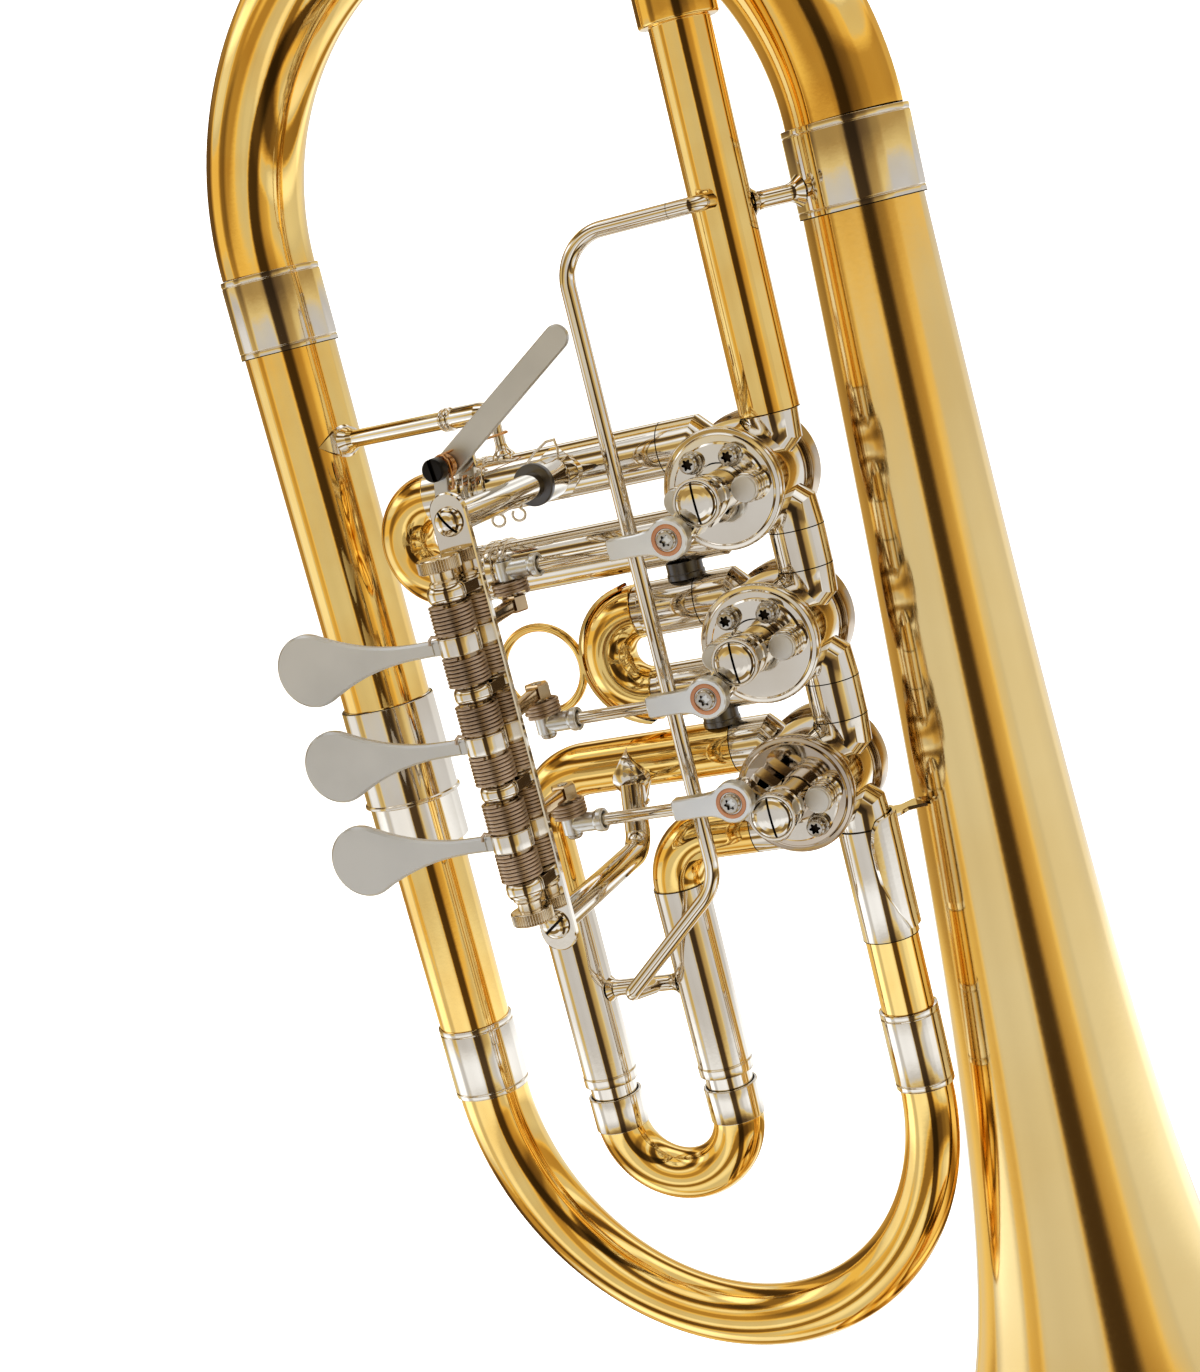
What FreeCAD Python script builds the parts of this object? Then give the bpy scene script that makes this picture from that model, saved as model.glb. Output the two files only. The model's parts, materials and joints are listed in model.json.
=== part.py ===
import FreeCAD, Part
import math
import os
import re
import Sketcher
from FreeCAD import Placement, Rotation, Vector

# A rotary-valve flugelhorn, standing on its bell. Millimetres throughout.
# Origin: centre of the bell's rim plane. +Z runs up the bell to the player's end, +X from the valves
# to the bell branch, and +Y away from the player's fingers, so the valve levers face -Y.

DOC = FreeCAD.newDocument("flugelhorn")
SHEET = DOC.addObject("Spreadsheet::Sheet", "Sizes")

SIZES = {
    # Where the valve row stands beside the bell
    "valve_side": 32.0,
    "valve_front": 19.6,
    "row_height": 232.0,
    "valve_pitch": 32.5,
    "way_offset": 9.1,
    # Slide tubing
    "way_outer": 5.82,
    "way_bore": 5.3,
    "slide_fit": 0.03,
    "slide_wall": 0.45,
    "knuckle_drop": 3.0,
    "knuckle_reach": 5.8,
    "overrun": 1.0,
    # Valve casing, plates and caps
    "casing_radius": 12.3,
    "disc_to_mid": 13.4,
    "disc_radius": 12.64,
    "disc_thick": 2.0,
    "disc_bevel": 0.35,
    "casing_front_wall": 2.0,
    "cap_start": 20.2,
    "thread_radius": 12.0,
    "thread_end": 24.2,
    "cap_radius": 13.2,
    "cap_end": 26.7,
    "cap_wall": 1.6,
    "cap_bevel": 0.6,
    "cap_dish_radius": 9.0,
    "cap_dish_depth": 0.5,
    # Rotor
    "rotor_radius": 10.75,
    "running_fit": 0.04,
    "end_play": 0.2,
    "rotor_end": 18.2,
    "passage_radius": 3.9,
    "spindle_radius": 2.5,
    "rear_spindle": 1.8,
    "bearing_thick": 2.2,
    # Stop plate, screws and bumpers
    "stop_thick": 1.2,
    "stop_radius": 9.75,
    "stop_inner": 5.45,
    "bumper_place": 7.3,
    "bumper_radius": 3.0,
    "bumper_top": 7.0,
    "bumper_seat": 0.4,
    "bumper_groove": 0.25,
    "bumper_band": 0.9,
    "stop_screw_side": 4.3,
    "stop_screw_rise": 6.6,
    "stop_screw_radius": 1.85,
    "stop_screw_top": 5.0,
    # Stop arm on the spindle
    "hub_gap": 0.4,
    "hub_radius": 4.9,
    "hub_waist": 4.6,
    "hub_foot": 4.1,
    "hub_step": 7.4,
    "hub_flange": 2.3,
    "hub_face": 15.0,
    "hub_dome": 0.75,
    "hub_screw_radius": 4.2,
    "slot_width": 0.8,
    "slot_depth": 0.9,
    "finger_half": 1.9,
    "finger_reach": 8.9,
    "finger_low": 1.6,
    "finger_high": 6.4,
    "crank_radius": 8.0,
    "crank_rest": 42.0,
    "crank_width": 4.6,
    "crank_back": 10.8,
    "crank_thick": 3.4,
    "boss_radius": 3.0,
    "boss_face": 15.6,
    # Links
    "link_plane": 18.0,
    "pin_gap": 0.75,
    "eye_radius": 4.2,
    "eye_thick": 3.2,
    "bush_radius": 3.2,
    "bush_proud": 0.15,
    "pin_radius": 1.5,
    "pin_head": 2.05,
    "pin_head_proud": 0.7,
    "neck_length": 11.6,
    "neck_width": 4.4,
    "rod_radius": 1.25,
    "rod_seat": 2.0,
    "socket_radius": 2.0,
    "socket_reach": 6.4,
    "cup_radius": 2.4,
    "cup_width": 1.1,
    "cross_radius": 2.15,
    "cross_half": 2.0,
    "cross_drop": 6.9,
    # Lever carriage
    "hinge_side": 40.4,
    "hinge_front": 48.0,
    "lever_middle": -0.8,
    "lever_pitch": 19.8,
    "hinge_radius": 1.6,
    "hub_tube": 4.1,
    "hub_half": 1.9,
    "arm_inset": 1.85,
    "arm_length": 30.0,
    "arm_width": 2.2,
    "arm_height": 2.6,
    "nut_radius": 2.5,
    "nut_half": 1.45,
    "cross_screw_radius": 1.25,
    "cross_head_radius": 1.7,
    "cross_head": 1.1,
    "head_crown": 0.4,
    "washer_gap": 0.1,
    "cross_coil_radius": 2.75,
    "cross_coil_wire": 0.38,
    "cross_coil_turns": 2.0,
    "paddle_reach": 33.1,
    "paddle_bulb": 7.3,
    "paddle_thick": 1.6,
    "paddle_front": 1.6,
    "paddle_bevel": 0.5,
    "neck_half": 1.5,
    "neck_start": 9.0,
    "root_length": 5.2,
    "root_half": 1.6,
    "collar_radius": 3.6,
    "collar_half": 1.6,
    "web_half": 1.1,
    "spring_radius": 3.3,
    "spring_wire": 0.25,
    "spring_turns": 6.0,
    "spring_gap": 0.1,
    "knob_place": 33.4,
    "knob_radius": 4.0,
    "knob_height": 3.4,
    "knob_neck_radius": 2.9,
    "knob_bevel": 0.4,
    # Lever plate and its posts
    "plate_front": 4.4,
    "plate_thick": 1.5,
    "plate_inset": 1.7,
    "plate_width": 7.6,
    "plate_low": 45.7,
    "plate_high": 47.1,
    "notch_half": 2.4,
    "notch_reach": 1.9,
    "plate_screw_radius": 2.9,
    "plate_screw_dome": 1.7,
    "screw_high": 41.6,
    "screw_low": 40.2,
    "post_radius": 2.7,
    "post_step_radius": 4.4,
    "post_step": 5.0,
    "post_step_place": 9.0,
    "post_waist": 2.3,
    "saddle_wall": 0.8,
    "saddle_half": 3.2,
    "saddle_height": 12.4,
    "stem_side": 36.8,
    "stem_bend": 4.5,
    "leaf_half": 3.2,
    "leaf_rise": 7.5,
    # Guard rod in front of the slides
    "guard_side": 21.8,
    "guard_radius": 1.65,
    "guard_bend": 5.0,
    "guard_low": 46.5,
    "guard_foot_side": 48.0,
    "guard_foot_low": 72.0,
    "guard_top": 88.0,
    # Slide 1, slide 2 and their bows
    "sleeve_1": 60.3,
    "bow_1": 70.8,
    "leg_1": 40.0,
    "sleeve_2": 28.0,
    "bow_2": 29.8,
    "leg_2": 14.0,
    "collar_proud": 0.75,
    "collar_length": 1.8,
    "collar_space": 1.3,
    "ferrule_proud": 0.3,
    "ferrule_1": 9.0,
    "ring_radius": 9.6,
    "ring_wire": 0.8,
    "strip_proud": 0.7,
    "strip_half": 2.6,
    # Slide 3
    "bend_3_upper": 14.0,
    "bend_3_lower": 11.0,
    "leg_3_near": 36.2,
    "leg_3_far": 65.1,
    "sleeve_3_top": 52.5,
    "sleeve_3_end": 97.0,
    "bow_3_low": 107.0,
    "leg_3": 52.0,
    # Bell and bows
    "rim_radius": 76.0,
    "bead_radius": 1.6,
    "bead_land": 0.5,
    "flare_start": 14.0,
    "bell_wall": 0.5,
    "narrowing_share": 0.57,
    "flare_crowding_share": 2.2,
    "branch_rise": 98.0,
    "tail_side": 139.7,
    "bow_end_radius": 10.7,
    "tail_mid_radius": 10.2,
    "tail_low_radius": 9.0,
    "front_bow_radius": 8.5,
    "front_bow_drop": 104.0,
    "tube_wall": 0.6,
    "tail_sleeve_top": 4.5,
    "tail_sleeve_rim": 28.0,
    "tail_sleeve_end": 40.0,
    "tail_sleeve_wall": 0.45,
    "rim_wire": 0.5,
    "bow_ferrule_half": 9.0,
    "bow_ferrule_wall": 0.5,
    "taper_room": 0.15,
    "outlet_sleeve_share": 0.6377,
    "outlet_wall": 0.35,
    # Mouthpipe
    "pipe_outer": 6.3,
    "pipe_rise": 130.0,
    "pipe_inner": 5.6,
    "inner_depth": 62.0,
    "clamp_radius": 8.2,
    "clamp_height": 7.0,
    "receiver_reach": 50.0,
    "receiver_length": 36.0,
    "receiver_radius": 7.0,
    "receiver_rim": 7.8,
    "receiver_rim_height": 3.0,
    "shank_radius": 5.02,
    "shank_length": 22.0,
    "lead_bore": 4.3,
    # Braces
    "spacer_radius": 3.3,
    "spacer_side": 17.2,
    "brace_radius": 1.85,
    "brace_height": 57.3,
    "brace_turn_side": 51.9,
    "brace_bend": 3.5,
    "brace_ring_side": 63.0,
    "brace_ring_radius": 2.7,
    "brace_ring_half": 0.9,
    "brace_ring_space": 2.6,
    "flange_radius": 4.0,
    "flange_thick": 1.0,
    "brace_foot_radius": 3.2,
    "gusset_top": 44.0,
    "gusset_low": 68.0,
    "gusset_half": 0.8,
    "body_brace_drop": 12.0,
    "cross_brace_low": 75.0,
    "brace_lap": 0.15,
    # Sprung trigger that pushes slide 1 out
    "key_side": 61.6,
    "key_rise": 16.1,
    "key_screw_face": 1.8,
    "key_screw_head": 3.0,
    "key_screw_radius": 2.5,
    "key_screw_slot": 1.0,
    "key_shank": 1.1,
    "key_barrel": 1.9,
    "key_barrel_start": 1.4,
    "key_barrel_end": 8.0,
    "key_ear_start": 8.2,
    "key_ear_end": 9.4,
    "key_ear_radius": 1.85,
    "key_ear_length": 5.6,
    "key_ear_drop": 3.6,
    "key_strip_start": 5.4,
    "key_strip_thick": 1.1,
    "key_strip_length": 38.0,
    "key_strip_half": 2.7,
    "key_strip_slope": 33.0,
    "key_arm_half": 1.6,
    "key_arm_thick": 1.4,
    "key_fork_half": 2.5,
    "key_fork_start": 8.6,
    "key_fork_end": 14.0,
    "key_slot_start": 9.3,
    "key_slot_half": 1.35,
    "key_pin_side": 63.4,
    "key_pin_rise": 5.5,
    "key_pin_radius": 1.0,
    "key_pin_face": 0.9,
    "key_coil_radius": 2.5,
    "key_coil_wire": 0.25,
    "key_coil_pitch": 0.95,
    "key_coil_start": 3.3,
    "key_coil_turns": 1.5,
    "key_leg_reach": 10.6,
}

for line, (alias, number) in enumerate(SIZES.items(), 1):
    SHEET.set("A%d" % line, alias.replace("_", " "))
    SHEET.set("B%d" % line, str(number))
    SHEET.setAlias("B%d" % line, alias)
DOC.recompute()


class Sheet:
    """The sheet's cells as plain numbers, for routes and outlines that are worked out here."""

    def __getattr__(self, alias):
        return float(SHEET.get(alias))


v = Sheet()
ALIAS = re.compile(r"\b(" + "|".join(sorted(SIZES, key=len, reverse=True)) + r")\b")
AIM = {
    "z": Rotation(),
    "-z": Rotation(Vector(1, 0, 0), 180),
    "y": Rotation(Vector(1, 0, 0), -90),
    "-y": Rotation(Vector(1, 0, 0), 90),
    "x": Rotation(Vector(0, 1, 0), 90),
    "-x": Rotation(Vector(0, 1, 0), -90),
}
NODES = []

# Helpers: features bound to the sheet


def bind(piece, prop, formula):
    """Bind one property of a feature to a formula of the sheet's names."""
    piece.setExpression(prop, ALIAS.sub(lambda word: "Sizes." + word.group(0), str(formula)))


def put(piece, at, turn):
    """Place a feature: its origin bound to three formulas, or fixed by a vector, its Z axis turned."""
    if isinstance(at, Vector):
        piece.Placement = Placement(at, turn)
        return piece
    piece.Placement = Placement(Vector(), turn)
    for letter, formula in zip("xyz", at):
        bind(piece, "Placement.Base." + letter, formula)
    return piece


def turn_to(axis):
    """The turn that lays Z along a named axis or along any direction."""
    return Rotation(Vector(0, 0, 1), axis) if isinstance(axis, Vector) else AIM[axis]


def cylinder(name, radius, height, at, axis="z"):
    piece = DOC.addObject("Part::Cylinder", name)
    bind(piece, "Radius", radius)
    bind(piece, "Height", height)
    return put(piece, at, turn_to(axis))


def cone(name, radius_1, radius_2, height, at, axis="z"):
    piece = DOC.addObject("Part::Cone", name)
    bind(piece, "Radius1", radius_1)
    bind(piece, "Radius2", radius_2)
    bind(piece, "Height", height)
    return put(piece, at, turn_to(axis))


def block(name, size, low, turn=Rotation()):
    """A box with its low corner at a place."""
    piece = DOC.addObject("Part::Box", name)
    for prop, formula in zip(("Length", "Width", "Height"), size):
        bind(piece, prop, formula)
    return put(piece, low, turn)


def turned_block(name, size, centre, turn, low):
    """A box whose low corner is given from a centre, then turned with it about that centre."""
    return block(name, size, centre + turn.multVec(low), turn)


def torus(name, radius_1, radius_2, at, axis="z"):
    piece = DOC.addObject("Part::Torus", name)
    bind(piece, "Radius1", radius_1)
    bind(piece, "Radius2", radius_2)
    return put(piece, at, AIM[axis])


def fused(name, pieces):
    if len(pieces) == 1:
        return pieces[0]
    whole = DOC.addObject("Part::MultiFuse", name)
    whole.Shapes = pieces
    whole.Refine = True
    return whole


def cut(name, base, tools):
    rest = DOC.addObject("Part::Cut", name)
    rest.Base = base
    rest.Tool = fused(name + "_tools", tools)
    return rest


def common(name, first, second):
    shared = DOC.addObject("Part::Common", name)
    shared.Base = first
    shared.Tool = second
    return shared


def group(name, pieces):
    """Like pieces that share one node, each its own solid."""
    together = DOC.addObject("Part::Compound", name)
    together.Links = pieces
    return together


def node(piece, label):
    piece.Label = label
    NODES.append(piece)
    return piece


def turned(name, profile, at, axis="z"):
    """A body turned about its own axis from (radius, along) points, each bound to the sheet."""
    body = DOC.addObject("PartDesign::Body", name)
    sketch = body.newObject("Sketcher::SketchObject", name + "_profile")
    plane = [side for side in body.Origin.OriginFeatures if side.Role == "XZ_Plane"][0]
    sketch.AttachmentSupport = (plane, [""])
    sketch.MapMode = "FlatFace"
    count = len(profile)
    corner = [Vector(math.cos(i * math.tau / count), math.sin(i * math.tau / count)) for i in range(count)]
    for i in range(count):
        sketch.addGeometry(Part.LineSegment(corner[i], corner[(i + 1) % count]), False)
    for i in range(count):
        sketch.addConstraint(Sketcher.Constraint("Coincident", i, 2, (i + 1) % count, 1))
    for i, point in enumerate(profile):
        for kind, formula in zip(("DistanceX", "DistanceY"), point):
            number = sketch.addConstraint(Sketcher.Constraint(kind, -1, 1, i, 1, 1.0))
            bind(sketch, "Constraints[%d]" % number, formula)
    solid = body.newObject("PartDesign::Revolution", name + "_turn")
    solid.Profile = sketch
    solid.ReferenceAxis = (sketch, ["V_Axis"])
    solid.Angle = 360
    return put(body, at, AIM[axis])


# Helpers: routes of tubes and rods


def route(name, points, bends):
    """Straight runs joined by tangent arcs, one bend radius for each inner point."""
    edges = []
    start = points[0]
    for before, corner, after, bend in zip(points, points[1:], points[2:], bends):
        inward = (before - corner).normalize()
        onward = (after - corner).normalize()
        turn = math.pi - inward.getAngle(onward)
        if bend == 0:
            edges.append(Part.LineSegment(start, corner).toShape())
            start = corner
            continue
        back = bend * math.tan(turn / 2)
        entry = corner + inward * back
        leave = corner + onward * back
        middle = (inward + onward).normalize()
        crown = corner + middle * (bend / math.cos(turn / 2) - bend)
        if (entry - start).Length > v.overrun / 1000:
            edges.append(Part.LineSegment(start, entry).toShape())
        edges.append(Part.Arc(entry, crown, leave).toShape())
        start = leave
    if (points[-1] - start).Length > v.overrun / 1000:
        edges.append(Part.LineSegment(start, points[-1]).toShape())
    path = DOC.addObject("Part::Feature", name)
    path.Shape = Part.Wire(edges)
    return path


def swept(name, points, bends, radius, end_radius=None):
    """A round bar along a route; with an end radius it tapers."""
    path = route(name + "_route", points, bends)
    ends = [(points[0], points[1] - points[0], radius)]
    if end_radius is not None:
        ends.append((points[-1], points[-1] - points[-2], end_radius))
    sections = []
    for number, (place, way, formula) in enumerate(ends, 1):
        ring = DOC.addObject("Part::Circle", "%s_section_%d" % (name, number))
        bind(ring, "Radius", formula)
        ring.Placement = Placement(place, Rotation(Vector(0, 0, 1), way))
        sections.append(ring)
    bar = DOC.addObject("Part::Sweep", name)
    bar.Sections = sections
    bar.Spine = (path, ["Edge%d" % (i + 1) for i in range(len(path.Shape.Edges))])
    bar.Solid = True
    bar.Frenet = False
    bar.Transition = "Right corner" if 0 in bends else "Transformed"
    return bar


def tube(name, points, bends, outer, wall, end_outer=None):
    """A hollow tube along a route: the outer bar less the bore bar."""
    inner_end = None if end_outer is None else "%s - %s" % (end_outer, wall)
    skin = swept(name + "_skin", points, bends, outer, end_outer)
    bore = swept(name + "_bore", points, bends, "%s - %s" % (outer, wall), inner_end)
    return cut(name, skin, [bore])


def pipe(name, outer, bore, length, at, axis="z"):
    """A straight hollow tube."""
    skin = cylinder(name + "_skin", outer, length, at, axis)
    return cut(name, skin, [cylinder(name + "_bore", bore, length, at, axis)])


def coil(name, centre, turn, radius, wire, pitch, turns, lead=None, tail=None):
    """An open coil spring: each quarter turn is two arcs that meet its ends on the helix."""
    quarters = round(turns * 4)
    rise = pitch / math.tau
    quarter = math.tau / 4

    def on_helix(angle):
        return Vector(radius * math.cos(angle), radius * math.sin(angle), rise * angle)

    def along(angle):
        return Vector(-radius * math.sin(angle), radius * math.cos(angle), rise).normalize()

    chord = on_helix(quarter) - on_helix(0)
    ways = along(0) + along(quarter)
    spread = 4 - ways.dot(ways)
    dot = chord.dot(ways)
    reach = (-dot + math.sqrt(dot ** 2 + spread * chord.dot(chord))) / spread
    corners = []
    for step in range(quarters):
        start = step * quarter
        corners.append(on_helix(start) + along(start) * reach)
        corners.append(on_helix(start + quarter) - along(start + quarter) * reach)
    points = [on_helix(0)] + corners + [on_helix(quarters * quarter)]
    turns_between = [(b - a).getAngle(c - b) for a, b, c in zip(points, points[1:], points[2:])]
    bends = [reach / math.tan(angle / 2) for angle in turns_between]
    place = Placement(centre, turn)
    points = [place.multVec(point) for point in points]
    if lead is not None:
        points[0] = points[0] - (points[1] - points[0]).normalize() * lead
    if tail is not None:
        points[-1] = points[-1] + (points[-1] - points[-2]).normalize() * tail
    print("%s: least gap between turns %.2f" % (name, least_gap(on_helix, quarters, wire)))
    return swept(name, points, bends, "%r" % wire)


def least_gap(on_helix, quarters, wire):
    """The least gap of a coil to itself, measured on points a sixteenth of a turn apart."""
    steps = 4 * quarters
    places = [on_helix(step * math.tau / 16) for step in range(steps + 1)]
    apart = [(b - a).Length for n, a in enumerate(places) for b in places[n + 8:]]
    return min(apart) - 2 * wire


# Places that several pieces share, as formulas of the sheet's names

VALVE_X = "(-valve_side)"
MID_Y = "(-valve_front)"
FACE_Y = "(-valve_front - disc_to_mid)"
ROW_SHARES = (1, 0, -1)
VALVE_Z = ["(row_height + %d * valve_pitch)" % share for share in ROW_SHARES]
LINK_Y = "(-valve_front - disc_to_mid - link_plane)"
HINGE_X = "(-valve_side - hinge_side)"
HINGE_Y = "(-valve_front - disc_to_mid - hinge_front)"
LINK_Z = ["(%s + %d * crank_radius * sin(crank_rest))" % (z, side)
          for z, side in zip(VALVE_Z, (-1, -1, 1))]
LEVER_Z = ["(row_height + lever_middle + %d * lever_pitch)" % share for share in ROW_SHARES]
BRANCH_TOP = "(row_height + branch_rise)"
FRONT_TOP = "(row_height - front_bow_drop)"
PIPE_TOP = "(row_height + pipe_rise)"
# Outline of a domed screw head, as shares of its radius and of its height
DOME_SHARES = ((1.0, 0.3), (0.8, 0.7), (0.45, 0.94))

valve_x = -v.valve_side
mid_y = -v.valve_front
face_y = mid_y - v.disc_to_mid
valve_z = [v.row_height + share * v.valve_pitch for share in ROW_SHARES]
way_z = v.way_offset
hinge_x = valve_x - v.hinge_side
hinge_y = face_y - v.hinge_front
branch_top = v.row_height + v.branch_rise
front_top = v.row_height - v.front_bow_drop
tail_rim = v.row_height - v.tail_sleeve_rim

# Valves 1 and 2 hang their cranks below the spindle, valve 3 above it
CRANK_SIDE = (-1, -1, 1)
# Link 1 rides above the end of its lever's arm, links 2 and 3 below theirs
LINK_SIDE = (1, -1, -1)
link_z = [z + side * v.crank_radius * math.sin(math.radians(v.crank_rest))
          for z, side in zip(valve_z, CRANK_SIDE)]


def knuckle(name, centre, side, rise, level, radius):
    """One way of a casing: out at 45 degrees, then mitred along X (level) or along Z."""
    root = v.way_offset / 2
    elbow = v.way_offset
    if level:
        end = Vector(side * (elbow + v.knuckle_reach), 0, rise * elbow)
    else:
        end = Vector(side * elbow, 0, rise * (elbow + v.knuckle_drop))
    points = [Vector(side * root, 0, rise * root), Vector(side * elbow, 0, rise * elbow), end]
    return swept(name, [centre + point for point in points], [0], radius)


def casing(i):
    """Valve casing: a cup with four mitred ways, bored for the rotor."""
    name = "casing_%d" % (i + 1)
    centre = Vector(valve_x, mid_y, valve_z[i])
    front = FACE_Y + " + disc_thick"
    shell = cylinder(name + "_shell", "casing_radius", "cap_start - disc_thick",
                     (VALVE_X, front, VALVE_Z[i]), "y")
    thread = cylinder(name + "_thread", "thread_radius", "thread_end - disc_thick",
                      (VALVE_X, front, VALVE_Z[i]), "y")
    chamber = cylinder(name + "_chamber", "rotor_radius + running_fit",
                       "thread_end - disc_thick - casing_front_wall + overrun",
                       (VALVE_X, front + " + casing_front_wall", VALVE_Z[i]), "y")
    spindle = cylinder(name + "_spindle", "spindle_radius + running_fit", "disc_to_mid",
                       (VALVE_X, FACE_Y, VALVE_Z[i]), "y")
    ways = [(-1, 1, True), (-1, -1, True), (1, 1, False), (1, -1, False)]
    skins = [knuckle("%s_way_%d" % (name, n), centre, *way, "way_outer") for n, way in enumerate(ways, 1)]
    bores = [knuckle("%s_port_%d" % (name, n), centre, *way, "way_bore") for n, way in enumerate(ways, 1)]
    outside = fused(name + "_outside", [shell, thread] + skins)
    node(cut(name, outside, [chamber, spindle] + bores), name)


def rotor(i):
    """Rotor: a plug with two round passages and a spindle at each end."""
    name = "rotor_%d" % (i + 1)
    front = FACE_Y + " + disc_thick + casing_front_wall + end_play"
    body = cylinder(name + "_plug", "rotor_radius",
                    "rotor_end - disc_thick - casing_front_wall - end_play",
                    (VALVE_X, front, VALVE_Z[i]), "y")
    shaft = cylinder(name + "_shaft", "spindle_radius",
                     "hub_face - hub_screw_radius / 2 + rotor_end",
                     (VALVE_X, FACE_Y + " - hub_face + hub_screw_radius / 2", VALVE_Z[i]), "y")
    tail = cylinder(name + "_tail", "rear_spindle", "bearing_thick + end_play + rotor_end / 2",
                    (VALVE_X, FACE_Y + " + rotor_end / 2", VALVE_Z[i]), "y")
    passages = [torus("%s_passage_%d" % (name, n), "rotor_radius", "passage_radius",
                      (VALVE_X + side + " rotor_radius * sqrt(2)", MID_Y, VALVE_Z[i]), "y")
                for n, side in enumerate((" -", " +"), 1)]
    node(cut(name, fused(name + "_solid", [body, shaft, tail]), passages), name)


def valve_trim():
    """Front discs, rear bearings, knurled caps, stop plates with their screws and bumpers."""
    discs, bearings, caps, stops, screws, bumpers = [], [], [], [], [], []
    for i, up in enumerate((1, 1, -1)):
        number = i + 1
        disc = turned("disc_%d" % number, [
            ("spindle_radius + running_fit", "0"), ("disc_radius - disc_bevel", "0"),
            ("disc_radius", "disc_bevel"), ("disc_radius", "disc_thick"),
            ("spindle_radius + running_fit", "disc_thick")], (VALVE_X, FACE_Y, VALVE_Z[i]), "y")
        discs.append(disc)
        bearings.append(pipe("bearing_%d" % number, "rotor_radius + running_fit",
                             "rear_spindle + running_fit", "bearing_thick",
                             (VALVE_X, FACE_Y + " + rotor_end + end_play", VALVE_Z[i]), "y"))
        caps.append(turned("cap_%d" % number, [
            ("thread_radius", "cap_start"), ("cap_radius", "cap_start"),
            ("cap_radius", "cap_end - cap_bevel"), ("cap_radius - cap_bevel", "cap_end"),
            ("cap_dish_radius", "cap_end"), ("cap_dish_radius - cap_dish_depth", "cap_end - cap_dish_depth"),
            ("0", "cap_end - cap_dish_depth"), ("0", "cap_end - cap_wall"),
            ("thread_radius", "cap_end - cap_wall")], (VALVE_X, FACE_Y, VALVE_Z[i]), "y"))
        stops.append(stop_plate(number, i, up))
        for side in (-1, 1):
            where = ("%s + %d * stop_screw_side" % (VALVE_X, side), FACE_Y + " - stop_thick",
                     "%s + %d * stop_screw_rise" % (VALVE_Z[i], up))
            label = "stop_screw_%d_%s" % (number, "left" if side < 0 else "right")
            screws.append(cylinder(label, "stop_screw_radius", "stop_screw_top - stop_thick", where, "-y"))
            bumpers.append(turned("bumper_%d_%s" % (number, "left" if side < 0 else "right"), [
                ("0", "stop_thick - bumper_seat"), ("bumper_radius", "stop_thick - bumper_seat"),
                ("bumper_radius", "bumper_top - 3 * bumper_band"),
                ("bumper_radius - bumper_groove", "bumper_top - 3 * bumper_band"),
                ("bumper_radius - bumper_groove", "bumper_top - 2 * bumper_band"),
                ("bumper_radius", "bumper_top - 2 * bumper_band"),
                ("bumper_radius", "bumper_top - bumper_groove"),
                ("bumper_radius - bumper_groove", "bumper_top"), ("0", "bumper_top")],
                ("%s + %d * bumper_place" % (VALVE_X, side), FACE_Y, VALVE_Z[i]), "-y"))
    node(group("top_plates", discs), "top_plates")
    node(group("back_bearings", bearings), "back_bearings")
    node(group("back_caps", caps), "back_caps")
    node(group("stop_plates", stops), "stop_plates")
    node(group("stop_screws", screws), "stop_screws")
    node(group("bumpers", bumpers), "bumpers")


def stop_plate(number, i, up):
    """Half-moon on the disc, with a lobe and a seat for the bumper at each end."""
    name = "stop_plate_%d" % number
    moon = cylinder(name + "_moon", "stop_radius", "stop_thick", (VALVE_X, FACE_Y, VALVE_Z[i]), "-y")
    low = VALVE_Z[i] if up > 0 else VALVE_Z[i] + " - stop_radius"
    half = block(name + "_half", ("2 * stop_radius", "stop_thick", "stop_radius"),
                 (VALVE_X + " - stop_radius", FACE_Y + " - stop_thick", low))
    lobes = []
    seats = []
    for side in (-1, 1):
        at = ("%s + %d * bumper_place" % (VALVE_X, side), FACE_Y, VALVE_Z[i])
        seat = (at[0], FACE_Y + " - stop_thick + bumper_seat", VALVE_Z[i])
        lobes.append(cylinder("%s_lobe_%d" % (name, side + 2), "bumper_radius + bumper_seat",
                              "stop_thick", at, "-y"))
        seats.append(cylinder("%s_seat_%d" % (name, side + 2), "bumper_radius", "stop_thick", seat, "-y"))
    seats.append(cylinder(name + "_eye", "stop_inner", "stop_thick", (VALVE_X, FACE_Y, VALVE_Z[i]), "-y"))
    for side in (-1, 1):
        seats.append(cylinder("%s_hole_%d" % (name, side + 2), "stop_screw_radius / 2", "stop_thick",
                              ("%s + %d * stop_screw_side" % (VALVE_X, side), FACE_Y,
                               "%s + %d * stop_screw_rise" % (VALVE_Z[i], up)), "-y"))
    return cut(name, fused(name + "_form", [common(name + "_half_moon", moon, half)] + lobes), seats)


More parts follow.
